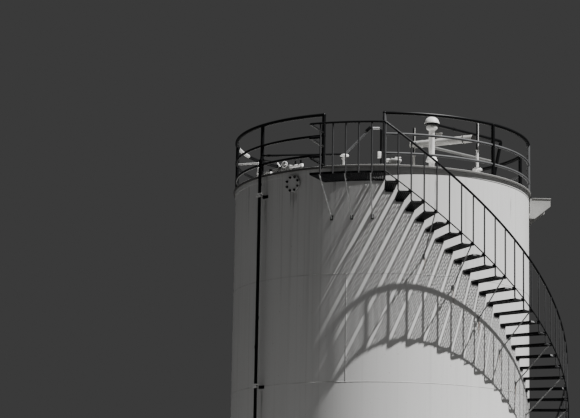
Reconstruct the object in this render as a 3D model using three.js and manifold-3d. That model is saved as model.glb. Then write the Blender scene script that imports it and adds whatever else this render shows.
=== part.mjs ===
// Vertical cylindrical storage tank with a cone roof, a roof guardrail, a landing
// and an open spiral stair that runs down round the shell to the ground.
// Units are millimetres, +Z is up, the origin is the centre of the bottom plate's underside.
// Bearings are in degrees round the tank: 0 faces -Y, and they grow towards +X.

import * as THREE from 'three';
import { mergeVertices } from 'three/addons/utils/BufferGeometryUtils.js';
import Module from 'manifold-3d';

const wasm = await Module();
wasm.setup();

// Shell
const SHELL_R = 2900;
const COURSE_H = 2000;
const SHELL_H = 5 * COURSE_H;
const SHELL_TOP = SHELL_H + 12;
const WALL_T = 8;
const BOTTOM_T = 8;
const CHIME = 50;
const FACETS = 48;
const FACET_DEG = 360 / FACETS;
const WELD_BEARING = -12.6;
const WELD_STEPS = [5, -3, 10, 0, 13];
const FIT = 0.3;
const SUNK = 20;
const BELOW_ROOF = 10000;

// Rim and roof
const RIM_R = 2946;
const CURB_LEG = 75;
const CURB_T = 8;
const RIM_UNDER = SHELL_TOP;
const RIM_TOP = SHELL_H + 40;
const RIM_WIDTH = 70;
const ROOF_SLOPE = 1 / 8;
const ROOF_T = 8;

// Guardrail on the rim
const RAIL_R = SHELL_R;
const TOP_RAIL_Z = 11030;
const MID_RAIL_Z = 10630;
const LOW_RAIL_Z = 10260;
const TOP_RAIL_D = 60;
const MID_RAIL_D = 42;
const POST_D = 60;
const GATE_POST = -22.2;
const GUARD_BAYS = [
  ['guardrail_left', [GATE_POST, -52.3, -92.7]],
  ['guardrail_rear_left', [-92.7, -133.2, -173.6]],
  ['guardrail_rear_right', [186.4, 145.9, 105.5]],
  ['guardrail_right', [84, 46.4, 0.8]],
];

// Stair
const RISERS = 54;
const LANDING_Z = 9774;
const RISE = LANDING_Z / RISERS;
const STAIR_BEARING = 0.84;
const STEP_DEG = 3.815;
const FLIGHT_STEPS = 9;
const FLIGHTS = RISERS / FLIGHT_STEPS;
const TREAD_R = 3615;
const TREAD_T = 35;
const STRING_D = 30;
const STRING_SINK = 16;
const BALUSTER_D = 27;
const HEX_FLAT = Math.cos(Math.PI / 6);
const BALUSTER_R = TREAD_R + (BALUSTER_D / 2) * HEX_FLAT + FIT;
const STRING_R = BALUSTER_R + ((BALUSTER_D + STRING_D) / 2) * HEX_FLAT + 3 * FIT;
const LUG_W = 24;
const LUG_OFF_DEG = 0.6;
const LUG_RISE = 24;
const HANDRAIL_H = 915;
const HANDRAIL_D = 48;
const LAP_DEG = 0.17;
const RAIL_LAP_DEG = 0.5;
const RAIL_LAP_DROP = (RISE * RAIL_LAP_DEG) / STEP_DEG;
const FIT_DEG = 0.006;
const BRACE_OFF_DEG = 0.35;
const BRACE_IN = 12;
const BRACE_D = 24;
const BRACE_DROP = 690;
const BRACE_EVERY = 3;
const PAD = 90;
const PAD_W = 54;
const PAD_T = 8;

// Landing
const LANDING_R = TREAD_R;
const LANDING_END = -21.6;
const LANDING_EDGE = 40;
const LANDING_BAR = 10;
const GRATING_T = 25;
const LANDING_MID_H = 650;
const LANDING_LOW_H = 290;
const STRUT_STEPS = [-5, -3, -1];

// Seat for a footbridge
const SEAT_BEARING = 94.5;
const SEAT_Z = 9990;
const SEAT_OUT = 3310;
const SEAT_WIDTH = 780;
const SEAT_DEPTH = 410;
const SEAT_LIP = 160;
const SEAT_PLATE_T = 12;
const GUSSET_T = 12;

// Pair of small-bore pipes up the shell and over the rim
const RISER_BEARING = -49.6;
const RISER_R = 3045;
const RISER_D = 34;
const RISER_SPACING = 42;
const RISER_BEND = 50;
const RISER_DROP_R = 2610;
const CLAMP_Z = [2350, 5980, 9610];
const CLAMP_W = 110;
const RUN_Z = 10390;
const RUN_RISE_X = [-703, -240];
const RUN_HIGH_Z = 10935;
const RUN_SLEEVE_D = 44;
const DROP_X = -20;
const JUNCTION_BOX = [70, 60, 130];

// Vent stack, its head and the line off its head
const STACK = [956, -1300];
const STACK_D = 114;
const STACK_TOP = 11180;
const STACK_DISCS = [
  [10462, 10480, 230],
  [10480, 10486, 200],
  [10484, 10560, 170],
  [11070, 11170, 220],
  [11168, 11210, 200],
];
const DOME_R = 146;
const DOME_H = 139;
const HEAD_LINE_D = 60;
const HEAD_LINE_Z = 11190;
const HEAD_LINE_ELBOW = [2370, 90];
const HEAD_LINE_FOOT = [2160, 60];

// Breather: two level pipes from a pole, the wide one with a flanged end
const BREATHER_Z = 10885;
const BREATHER_POLE = [620, -885];
const BREATHER_SLEEVE_TOP = 10660;
const BREATHER_POLE_TOP = 11222;
const WIDE_PIPE = [[560, -833], [1571, -1366]];
const WIDE_PIPE_D = 148;
const WIDE_END = [176, 205];
const THIN_PIPE = [[640, -1005], [2235, 615]];
const THIN_PIPE_D = 54;

// Small fittings on the roof
const SMALL_VENT = [-712, -2150];
const HATCH = [240, -2350];
const GAUGE = [1810, -1900];
const EDGE_PIPE_Z = 10160;
const EDGE_PIPE_R = 2700;
const EDGE_PIPE_D = 42;
const EDGE_STOOLS = [-34.5, -42, -51, -58.5];
const EDGE_STUBS = [-34.6, -37.4];
const EDGE_END = -61;
const EDGE_VALVE = [-40.2, -46, 96];
const EDGE_BONNET = [-43, 56, 110];
const EDGE_CROSS = [10115, 10290, 100];
const EDGE_BAR = [[-2830, -450, 10550], [-2395, -1320, 10390]];

// Colours of the finishes
const paint = (name, color, roughness) =>
  new THREE.MeshStandardMaterial({ name, color, roughness, metalness: 0 });
const SHELL_PAINT = paint('shell_paint', 0xcfcdc6, 0.55);
const ROOF_PAINT = paint('roof_paint', 0xc2c0b8, 0.6);
const DARK_PAINT = paint('dark_paint', 0x26282a, 0.5);
const WHITE_PAINT = paint('white_paint', 0xe6e4de, 0.5);
const STEEL = paint('galvanised', 0x9b9c9a, 0.6);
STEEL.metalness = 0.6;

const tank = new THREE.Group();

const rad = (deg) => (deg * Math.PI) / 180;
const deg = (angle) => (angle * 180) / Math.PI;

// Point at a radius, a bearing and a height
function at(r, bearing, z) {
  return new THREE.Vector3(r * Math.sin(rad(bearing)), -r * Math.cos(rad(bearing)), z);
}

function add(name, geometry, material) {
  const mesh = new THREE.Mesh(geometry, material);
  mesh.name = name;
  tank.add(mesh);
}

// Position-only, merged and outward-facing copy of a geometry
function clean(geometry) {
  const bare = geometry.clone();
  bare.deleteAttribute('normal');
  bare.deleteAttribute('uv');
  const merged = mergeVertices(bare, 1e-3);
  const p = merged.getAttribute('position');
  const index = merged.getIndex().array;
  const kept = [];
  const corner = [new THREE.Vector3(), new THREE.Vector3(), new THREE.Vector3()];
  let volume = 0;
  for (let i = 0; i < index.length; i += 3) {
    const [a, b, c] = index.slice(i, i + 3);
    if (a === b || b === c || c === a) continue;
    [a, b, c].forEach((v, n) => corner[n].fromBufferAttribute(p, v));
    volume += corner[0].dot(corner[1].clone().cross(corner[2]));
    kept.push(a, b, c);
  }
  if (volume < 0) {
    kept.reverse();
  }
  merged.setIndex(kept);
  return merged;
}

function toSolid(geometry) {
  const shape = clean(geometry);
  const vertProperties = new Float32Array(shape.getAttribute('position').array);
  const triVerts = new Uint32Array(shape.getIndex().array);
  return new wasm.Manifold(new wasm.Mesh({ numProp: 3, vertProperties, triVerts }));
}

function toGeometry(solid) {
  const mesh = solid.getMesh();
  const geometry = new THREE.BufferGeometry();
  geometry.setAttribute('position', new THREE.BufferAttribute(mesh.vertProperties, 3));
  geometry.setIndex(new THREE.BufferAttribute(mesh.triVerts, 1));
  geometry.computeVertexNormals();
  return geometry;
}

function join(geometries) {
  return geometries.map(toSolid).reduce((whole, piece) => whole.add(piece));
}

// Ring or disc turned about the tank's axis from (radius, height) points
function turned(points, start = WELD_BEARING, facets = FACETS) {
  const profile = points.map(([r, z]) => new THREE.Vector2(r, z));
  const lathe = new THREE.LatheGeometry(profile, facets, rad(start), 2 * Math.PI);
  return clean(lathe.rotateX(Math.PI / 2));
}

const spread = (from, to, steps) =>
  Array.from({ length: steps + 1 }, (_, i) => from + ((to - from) * i) / steps);

// Curved block between two radii and two heights, with a corner at each bearing
function arcBlock(r0, r1, bearings, z0, z1) {
  const outside = bearings.map((b) => at(r1, b, 0));
  const inside = bearings.map((b) => at(r0, b, 0)).reverse();
  const shape = new THREE.Shape([...outside, ...inside].map(({ x, y }) => new THREE.Vector2(x, y)));
  const block = new THREE.ExtrudeGeometry(shape, { depth: z1 - z0, bevelEnabled: false });
  return block.translate(0, 0, z0);
}

// Flat-sided block with straight edges, laid out along a bearing
function radialBlock(r0, r1, width, z0, z1, bearing, aside = 0) {
  const block = new THREE.BoxGeometry(r1 - r0, width, z1 - z0);
  block.translate((r0 + r1) / 2, aside, (z0 + z1) / 2);
  return block.rotateZ(rad(bearing - 90));
}

function polygon(radius, sides) {
  const shape = new THREE.Shape();
  for (let i = 0; i < sides; i += 1) {
    const a = (2 * Math.PI * (i + 0.5)) / sides;
    shape[i === 0 ? 'moveTo' : 'lineTo'](radius * Math.cos(a), radius * Math.sin(a));
  }
  return shape;
}

// Round bar between two points
function bar(a, b, diameter, sides = 6) {
  const along = b.clone().sub(a);
  const rod = new THREE.CylinderGeometry(diameter / 2, diameter / 2, along.length(), sides);
  const turn = new THREE.Quaternion().setFromUnitVectors(
    new THREE.Vector3(0, 1, 0), along.clone().normalize());
  rod.applyQuaternion(turn);
  const middle = a.clone().add(b).multiplyScalar(0.5);
  return rod.translate(middle.x, middle.y, middle.z);
}

// Upright bar with one flat side turned to the tank's axis
function upright(r, bearing, z0, z1, diameter, sides = 6) {
  const post = new THREE.CylinderGeometry(diameter / 2, diameter / 2, z1 - z0, sides);
  post.rotateX(Math.PI / 2).rotateZ(rad(bearing + 180 / sides));
  return post.translate(...at(r, bearing, (z0 + z1) / 2));
}

// Bar that follows the tank round, level or as a helix
class Around extends THREE.Curve {
  constructor(r, from, to, z0, z1) {
    super();
    Object.assign(this, { r, from, to, z0, z1 });
  }

  getPoint(t, target = new THREE.Vector3()) {
    const bearing = this.from + (this.to - this.from) * t;
    return target.copy(at(this.r, bearing, this.z0 + (this.z1 - this.z0) * t));
  }

  getTangent(t, target = new THREE.Vector3()) {
    const bearing = rad(this.from + (this.to - this.from) * t);
    const sweep = this.r * rad(this.to - this.from);
    target.set(sweep * Math.cos(bearing), sweep * Math.sin(bearing), this.z1 - this.z0);
    return target.normalize();
  }

  // Section frames whose first axis points out from the tank
  computeFrenetFrames(segments) {
    const frames = { tangents: [], normals: [], binormals: [] };
    for (let i = 0; i <= segments; i += 1) {
      const t = i / segments;
      const tangent = this.getTangent(t);
      const normal = at(1, this.from + (this.to - this.from) * t, 0);
      frames.tangents.push(tangent);
      frames.normals.push(normal);
      frames.binormals.push(tangent.clone().cross(normal));
    }
    return frames;
  }
}

function hoop(r, from, to, z0, z1, diameter, steps, sides = 6) {
  const extrudePath = new Around(r, from, to, z0, z1);
  return new THREE.ExtrudeGeometry(polygon(diameter / 2, sides), { steps, extrudePath });
}

// Pipe through points, with its corners rounded by a bend radius
function pipe(points, diameter, bend = 60, sides = 6) {
  const path = new THREE.CurvePath();
  let last = points[0];
  for (let i = 1; i < points.length; i += 1) {
    const here = points[i];
    const next = points[i + 1];
    if (!next) {
      path.add(new THREE.LineCurve3(last, here));
      break;
    }
    const back = last.clone().sub(here).setLength(bend);
    const on = next.clone().sub(here).setLength(bend);
    const start = here.clone().add(back);
    const end = here.clone().add(on);
    path.add(new THREE.LineCurve3(last, start));
    path.add(new THREE.QuadraticBezierCurve3(start, here, end));
    last = end;
  }
  const runs = path.curves.map((curve) => {
    const steps = curve.isLineCurve3 ? 1 : 2;
    return { curve, steps };
  });
  const stops = runs.flatMap(({ curve, steps }) =>
    Array.from({ length: steps }, (_, i) => curve.getPoint(i / steps)));
  stops.push(points.at(-1).clone());
  const extrudePath = new Route(stops);
  return new THREE.ExtrudeGeometry(polygon(diameter / 2, sides), {
    steps: stops.length - 1,
    extrudePath,
  });
}

// Straight runs between given stops, one stop to each step of the sweep
class Route extends THREE.Curve {
  constructor(stops) {
    super();
    this.stops = stops;
  }

  getPoint(t, target = new THREE.Vector3()) {
    const place = Math.min(t, 1) * (this.stops.length - 1);
    const i = Math.min(Math.floor(place), this.stops.length - 2);
    return target.copy(this.stops[i]).lerp(this.stops[i + 1], place - i);
  }

  getPointAt(t, target) {
    return this.getPoint(t, target);
  }

  getTangentAt(t, target = new THREE.Vector3()) {
    const place = Math.round(Math.min(t, 1) * (this.stops.length - 1));
    const before = this.stops[Math.max(place - 1, 0)];
    const after = this.stops[Math.min(place + 1, this.stops.length - 1)];
    return target.copy(after).sub(before).normalize();
  }
}

// Round plate or neck whose axis points out from the tank at a bearing
function outDisc(r0, r1, diameter, bearing, z, sides = 16) {
  return bar(at(r0, bearing, z), at(r1, bearing, z), diameter, sides);
}

function upDisc(x, y, z0, z1, diameter, sides = 12) {
  return bar(new THREE.Vector3(x, y, z0), new THREE.Vector3(x, y, z1), diameter, sides);
}

// What the attached pieces are cut back to: the shell, its curb and the roof
const shellCore = toSolid(turned([
  [0, -10],
  [SHELL_R + FIT, -10],
  [SHELL_R + FIT, SHELL_H - CURB_LEG - FIT],
  [SHELL_R + CURB_T + FIT, SHELL_H - CURB_LEG - FIT],
  [SHELL_R + CURB_T + FIT, SHELL_H],
  [0, SHELL_H],
]));
const roofHeight = (r) => RIM_TOP + (RIM_R - RIM_WIDTH - r) * ROOF_SLOPE;
const roofCore = toSolid(turned([
  [0, SHELL_H - COURSE_H],
  [SHELL_R - 2 * WALL_T, SHELL_H - COURSE_H],
  [SHELL_R - 2 * WALL_T, SHELL_H],
  [RIM_R + FIT, SHELL_H],
  [RIM_R + FIT, RIM_TOP + FIT],
  [RIM_R - RIM_WIDTH, RIM_TOP + FIT],
  [0, roofHeight(0) + FIT],
]));

const onShell = (solid) => toGeometry(solid.subtract(shellCore));
const onRoof = (solid) => toGeometry(solid.subtract(roofCore));

// Bottom plate, with its edge standing out past the shell
function bottomPlate() {
  const r = SHELL_R + CHIME;
  add('bottom_plate', turned([[0, 0], [r, 0], [r, BOTTOM_T], [0, BOTTOM_T]]), STEEL);
}

// Five courses of two plates each, with their upright welds staggered
function shellPlates() {
  const seam = deg(FIT / SHELL_R) / 2;
  WELD_STEPS.forEach((shift, course) => {
    const z0 = course === 0 ? BOTTOM_T + FIT : course * COURSE_H + FIT / 2;
    const top = course === WELD_STEPS.length - 1;
    const z1 = top ? SHELL_TOP - FIT : (course + 1) * COURSE_H - FIT / 2;
    ['a', 'b'].forEach((half, side) => {
      const from = WELD_BEARING + shift * FACET_DEG + side * 180 + seam;
      const to = from + 180 - 2 * seam;
      const plate = arcBlock(SHELL_R - WALL_T, SHELL_R, spread(from, to, FACETS / 2), z0, z1);
      add(`shell_course_${course + 1}${half}`, plate, SHELL_PAINT);
    });
  });
}

// Angle round the top of the shell, its upright leg outside and its flat leg turned out
function curbAngle() {
  const inside = SHELL_R + FIT;
  add('curb_angle', turned([
    [inside, SHELL_H - CURB_LEG],
    [SHELL_R + CURB_T, SHELL_H - CURB_LEG],
    [SHELL_R + CURB_T, SHELL_H],
    [RIM_R, SHELL_H],
    [RIM_R, RIM_UNDER - FIT],
    [inside, RIM_UNDER - FIT],
    [inside, SHELL_H - CURB_LEG],
  ]), SHELL_PAINT);
}

// Shallow cone of plate on a flat rim bar
function roofPlate() {
  const rimIn = RIM_R - RIM_WIDTH;
  add('roof', turned([
    [0, roofHeight(0) - ROOF_T],
    [rimIn, RIM_TOP - ROOF_T],
    [rimIn, RIM_UNDER],
    [RIM_R, RIM_UNDER],
    [RIM_R, RIM_TOP],
    [rimIn, RIM_TOP],
    [0, roofHeight(0)],
  ]), ROOF_PAINT);
}

// Posts on the rim with three rails, in sections that meet post to rail
function guardrails() {
  const trim = deg((POST_D / 2 + FIT) / RAIL_R);
  GUARD_BAYS.forEach(([name, posts]) => {
    const first = posts[0];
    const last = posts.at(-1);
    const borrows = name === 'guardrail_rear_left' || name === 'guardrail_rear_right';
    const way = Math.sign(last - first);
    const from = borrows ? first + way * trim : first;
    const own = borrows ? posts.slice(1) : posts;
    const pieces = own.map((b) => upright(RAIL_R, b, RIM_TOP + FIT, TOP_RAIL_Z, POST_D));
    const steps = Math.round(Math.abs(last - from) / 9);
    [[TOP_RAIL_Z, TOP_RAIL_D], [MID_RAIL_Z, MID_RAIL_D], [LOW_RAIL_Z, MID_RAIL_D]].forEach(([z, d]) => {
      pieces.push(hoop(RAIL_R, from, last, z, z, d, steps));
    });
    add(name, toGeometry(join(pieces)), DARK_PAINT);
  });
}

const nosing = (k) => STAIR_BEARING + k * STEP_DEG;
const treadTop = (k) => LANDING_Z - k * RISE;
const isBraced = (k) => k > 1 && (k - 1) % BRACE_EVERY === 0;

// Raking brace and its pad, from under a nosing down to the shell
function brace(k, top) {
  const bearing = nosing(k) - BRACE_OFF_DEG;
  const foot = top - BRACE_DROP;
  return [
    bar(at(TREAD_R - BRACE_IN, bearing, top), at(SHELL_R - SUNK, bearing, foot - SUNK), BRACE_D),
    radialBlock(SHELL_R - SUNK, SHELL_R + PAD_T, PAD_W, foot - PAD / 2, foot + PAD / 2, bearing),
  ];
}

// Lug that hangs the outer end of a tread on the string
function lug(k) {
  const top = treadTop(k);
  return radialBlock(TREAD_R - LUG_W / 2, STRING_R, LUG_W, top - TREAD_T, top + LUG_RISE,
    nosing(k) - LUG_OFF_DEG);
}

// One flight: treads hung between the shell and the outer string, and the braces under them
function flight(n) {
  const first = n * FLIGHT_STEPS;
  const last = Math.min(first + FLIGHT_STEPS, RISERS);
  const pieces = [];
  for (let k = first + 1; k <= last && k < RISERS; k += 1) {
    const z = treadTop(k);
    pieces.push(arcBlock(SHELL_R - SUNK, TREAD_R, [nosing(k - 1), nosing(k)], z - TREAD_T, z));
    pieces.push(lug(k));
    if (isBraced(k) && z > BRACE_DROP + PAD) {
      pieces.push(...brace(k, z - TREAD_T / 2));
    }
  }
  const end = Math.min(last, RISERS - 1);
  const stringZ = (k) => treadTop(k) - STRING_SINK;
  pieces.push(hoop(STRING_R, nosing(first) + LAP_DEG + FIT_DEG, nosing(end) + LAP_DEG,
    stringZ(first), stringZ(end), STRING_D, end - first));
  if (last === RISERS) {
    pieces.push(upright(STRING_R, nosing(end), 0, stringZ(end), STRING_D));
  }
  add(`stair_flight_${n + 1}`, onShell(join(pieces)), DARK_PAINT);
}

// Handrail and balusters of one flight, one baluster to a nosing, long ones down to the tread below
function stairRail(n) {
  const first = n * FLIGHT_STEPS;
  const last = first + FLIGHT_STEPS;
  const pieces = [];
  for (let k = first + 1; k <= last; k += 1) {
    const foot = treadTop(isBraced(k) ? k : k + 1) - TREAD_T;
    const head = treadTop(k) + HANDRAIL_H;
    pieces.push(upright(BALUSTER_R, nosing(k), Math.max(foot, 0), head, BALUSTER_D));
  }
  const railZ = (k) => treadTop(k) + HANDRAIL_H - RAIL_LAP_DROP;
  pieces.push(hoop(BALUSTER_R, nosing(first) + RAIL_LAP_DEG + 2 * FIT_DEG, nosing(last) + RAIL_LAP_DEG,
    railZ(first), railZ(last), HANDRAIL_D, FLIGHT_STEPS));
  add(`stair_rail_${n + 1}`, toGeometry(join(pieces)), DARK_PAINT);
}

const LANDING_STOPS = [LANDING_END, ...spread(nosing(-5), nosing(0), 5)];

// Landing frame of edge bars and bearers, on three raking struts
function landingFrame() {
  const end = STAIR_BEARING;
  const low = LANDING_Z - LANDING_EDGE;
  const under = LANDING_Z - GRATING_T - FIT;
  const inner = SHELL_R + CURB_T + 2;
  const pieces = [
    arcBlock(LANDING_R - LANDING_BAR, LANDING_R, LANDING_STOPS, low, LANDING_Z),
    arcBlock(inner, inner + LANDING_BAR, LANDING_STOPS, low, LANDING_Z),
    radialBlock(SHELL_R - SUNK, LANDING_R - 5, LANDING_BAR, low, LANDING_Z, LANDING_END, LANDING_BAR / 2),
    radialBlock(SHELL_R - SUNK, LANDING_R - 5, LANDING_BAR, low, LANDING_Z, end, -LANDING_BAR / 2),
  ];
  STRUT_STEPS.forEach((k) => {
    pieces.push(radialBlock(inner, LANDING_R - 5, 2 * LANDING_BAR, low, under, nosing(k) - BRACE_OFF_DEG));
    pieces.push(...brace(k, low + LANDING_BAR / 2));
  });
  add('landing_frame', onShell(join(pieces)), DARK_PAINT);
}

function landingGrating() {
  const inner = SHELL_R + CURB_T + 2 + LANDING_BAR + 1;
  const edge = deg((LANDING_BAR + 2) / inner);
  const stops = [LANDING_END + edge, ...LANDING_STOPS.slice(1, -1), STAIR_BEARING - edge];
  const panel = arcBlock(inner, LANDING_R - LANDING_BAR - 1, stops, LANDING_Z - GRATING_T, LANDING_Z);
  add('landing_grating', panel, STEEL);
}

// Landing handrail: outer rail on balusters, and three rails back to the post beside the gate
function landingRail() {
  const top = LANDING_Z + HANDRAIL_H;
  const bend = STAIR_BEARING + deg(HANDRAIL_D / 6 / BALUSTER_R);
  const lap = STAIR_BEARING + RAIL_LAP_DEG;
  const pieces = [
    hoop(BALUSTER_R, LANDING_END, bend, top, top, HANDRAIL_D, 6),
    hoop(BALUSTER_R, STAIR_BEARING, lap, top, top - RAIL_LAP_DROP, HANDRAIL_D, 1),
  ];
  for (let k = -5; k <= 0; k += 1) {
    pieces.push(upright(BALUSTER_R, nosing(k), LANDING_Z - LANDING_EDGE, top, BALUSTER_D));
  }
  [[HANDRAIL_H, HANDRAIL_D], [LANDING_MID_H, MID_RAIL_D], [LANDING_LOW_H, MID_RAIL_D]].forEach(([h, d]) => {
    const z = LANDING_Z + h;
    pieces.push(bar(at(BALUSTER_R + d / 2 - 2, LANDING_END, z), at(RAIL_R, GATE_POST, z), d));
    if (h < HANDRAIL_H) {
      pieces.push(hoop(BALUSTER_R, LANDING_END, nosing(-5), z, z, d, 2));
    }
  });
  const post = upright(RAIL_R, GATE_POST, RIM_TOP, TOP_RAIL_Z, POST_D + (2 * FIT) / HEX_FLAT);
  add('landing_rail', toGeometry(join(pieces).subtract(toSolid(post))), DARK_PAINT);
}

// Seat for a footbridge: a top plate on two gussets
function bridgeSeat() {
  const shellSide = SHELL_R - 3 * SUNK;
  const under = SEAT_Z - SEAT_PLATE_T / 2;
  const outline = new THREE.Shape([
    new THREE.Vector2(shellSide, SEAT_Z - SEAT_DEPTH),
    new THREE.Vector2(SHELL_R + 100, SEAT_Z - SEAT_DEPTH),
    new THREE.Vector2(SEAT_OUT, SEAT_Z - SEAT_LIP),
    new THREE.Vector2(SEAT_OUT, under),
    new THREE.Vector2(shellSide, under),
  ]);
  const pieces = [-1, 1].map((side) => {
    const gusset = new THREE.ExtrudeGeometry(outline, { depth: GUSSET_T, bevelEnabled: false });
    gusset.rotateX(Math.PI / 2);
    gusset.translate(0, side * (SEAT_WIDTH / 2 - GUSSET_T) + GUSSET_T / 2, 0);
    return gusset.rotateZ(rad(SEAT_BEARING - 90));
  });
  pieces.push(radialBlock(RIM_R + 6, SEAT_OUT + 10, SEAT_WIDTH, SEAT_Z - SEAT_PLATE_T, SEAT_Z,
    SEAT_BEARING));
  add('bridge_seat', onShell(join(pieces)), WHITE_PAINT);
}

const spot = ([x, y], z) => new THREE.Vector3(x, y, z);

// Two pipes held off the shell by clamps: one turns in over the roof, the other crosses to the landing
function riserPipes() {
  const half = deg(RISER_SPACING / 2 / RISER_R);
  const left = RISER_BEARING - half;
  const right = RISER_BEARING + half;
  const turn = at(RISER_R, right, RUN_Z);
  const line = turn.y;
  const over = RUN_Z - 60;
  const rise = [spot([RUN_RISE_X[0], line], RUN_Z + 45), spot([RUN_RISE_X[1], line], RUN_HIGH_Z)];
  const pieces = [
    bar(...rise, RUN_SLEEVE_D),
    pipe([
      at(RISER_R, right, 0),
      turn,
      ...rise,
      spot([DROP_X, line], RUN_HIGH_Z + 15),
      spot([DROP_X, line], BELOW_ROOF),
    ], RISER_D, RISER_BEND),
    pipe([
      at(RISER_R, left, 0),
      at(RISER_R, left, over),
      at(RISER_DROP_R, left, over),
      at(RISER_DROP_R, left, BELOW_ROOF),
    ], RISER_D, RISER_BEND),
  ];
  CLAMP_Z.forEach((z) => {
    pieces.push(radialBlock(SHELL_R - SUNK, RISER_R, 70, z - 6, z + 6, RISER_BEARING));
    pieces.push(radialBlock(RISER_R - 6, RISER_R + 6, CLAMP_W, z - 20, z + 20, RISER_BEARING));
    pieces.push(radialBlock(SHELL_R - SUNK, SHELL_R + PAD_T, CLAMP_W, z - 60, z + 60, RISER_BEARING));
  });
  const box = new THREE.BoxGeometry(...JUNCTION_BOX);
  pieces.push(box.translate(DROP_X - JUNCTION_BOX[0] / 2 + 4, line - 40, RUN_Z + 30));
  const solid = join(pieces).subtract(shellCore).subtract(roofCore);
  add('riser_pipes', toGeometry(solid), DARK_PAINT);
}

// Blind-flanged nozzle standing out from the shell, on a round reinforcing plate
function nozzle(name, bearing, z, neck, flange, reach, thick) {
  const pieces = [
    outDisc(SHELL_R - 2 * SUNK, SHELL_R + reach, neck, bearing, z),
    outDisc(SHELL_R + reach - thick, SHELL_R + reach, flange, bearing, z),
    outDisc(SHELL_R + reach - 1, SHELL_R + reach + thick, flange - 4, bearing, z),
    outDisc(SHELL_R - 2 * SUNK, SHELL_R + 14, neck * 1.45, bearing, z),
  ];
  add(name, onShell(join(pieces)), SHELL_PAINT);
}

// Low dome turned about an upright axis
function turnedCap(x, y, z, radius, height, rings) {
  const points = [[0, 0]];
  for (let i = 0; i <= rings; i += 1) {
    const a = (i / rings) * (Math.PI / 2);
    points.push([radius * Math.cos(a), height * Math.sin(a)]);
  }
  points[points.length - 1][0] = 0;
  return turned(points, 0, 12).translate(x, y, z);
}

// Vent stack: a flanged joint, a collar, a domed cap, and a line from its head down to the roof
function ventStack() {
  const [x, y] = STACK;
  const pieces = [
    upDisc(x, y, BELOW_ROOF, STACK_TOP, STACK_D),
    ...STACK_DISCS.map(([z0, z1, d]) => upDisc(x, y, z0, z1, d)),
    turnedCap(x, y, STACK_TOP + 25, DOME_R, DOME_H, 3),
    pipe([
      spot([x + 60, y], HEAD_LINE_Z),
      spot(HEAD_LINE_ELBOW, HEAD_LINE_Z),
      spot(HEAD_LINE_FOOT, BELOW_ROOF),
    ], HEAD_LINE_D, 45),
  ];
  add('vent_stack', onRoof(join(pieces)), WHITE_PAINT);
}

function breatherPipe() {
  const [left, right] = WIDE_PIPE.map((p) => spot(p, BREATHER_Z));
  const along = right.clone().sub(left).normalize();
  const [endD, endL] = WIDE_END;
  const end = right.clone().add(along.clone().multiplyScalar(endL));
  const saddle = left.clone().lerp(right, 0.52);
  const [near, far] = THIN_PIPE;
  const pieces = [
    bar(spot(BREATHER_POLE, BELOW_ROOF), spot(BREATHER_POLE, BREATHER_POLE_TOP), 28, 8),
    bar(spot(BREATHER_POLE, BELOW_ROOF), spot(BREATHER_POLE, BREATHER_SLEEVE_TOP), 46, 8),
    bar(left, end, WIDE_PIPE_D, 12),
    bar(right, end.clone().sub(along.clone().multiplyScalar(15)), endD, 12),
    new THREE.BoxGeometry(110, 60, 120).translate(saddle.x + 15, saddle.y, BREATHER_Z + 120),
    pipe([spot(near, BREATHER_Z), spot(far, BREATHER_Z), spot(far, BELOW_ROOF)], THIN_PIPE_D, 70, 8),
  ];
  add('breather_pipe', onRoof(join(pieces)), WHITE_PAINT);
}

function smallVent() {
  const [x, y] = SMALL_VENT;
  const pieces = [
    upDisc(x, y, BELOW_ROOF, 10400, 68, 12),
    upDisc(x, y, BELOW_ROOF, roofHeight(Math.hypot(x, y)) + 12, 120, 12),
    turnedCap(x, y, 10365, 84, 36, 3),
  ];
  add('small_vent', onRoof(join(pieces)), WHITE_PAINT);
}

// Gauge hatch by the landing: a short neck with a lid, a hinge block and a lever
function gaugeHatch() {
  const [x, y] = HATCH;
  const lid = roofHeight(Math.hypot(x, y)) + 150;
  const pieces = [
    upDisc(x, y, BELOW_ROOF, lid - 20, 200),
    upDisc(x, y, lid - 40, lid - 20, 260),
    upDisc(x, y, lid - 22, lid, 250),
    new THREE.BoxGeometry(60, 50, 60).translate(x - 130, y, lid - 10),
    new THREE.BoxGeometry(24, 24, 60).translate(x + 60, y, lid + 20),
    new THREE.BoxGeometry(110, 24, 20).translate(x + 60, y, lid + 45),
  ];
  add('gauge_hatch', onRoof(join(pieces)), WHITE_PAINT);
}

// Gauge pole near the rim: a flanged sleeve with a thinner pole in it
function gaugePole() {
  const [x, y] = GAUGE;
  const pieces = [
    upDisc(x, y, BELOW_ROOF, 10180, 90, 12),
    upDisc(x, y, 10160, 10190, 190, 16),
    upDisc(x, y, 10180, 10560, 50, 10),
    upDisc(x, y, 10550, 11090, 34, 8),
  ];
  add('gauge_pole', onRoof(join(pieces)), WHITE_PAINT);
}

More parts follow.
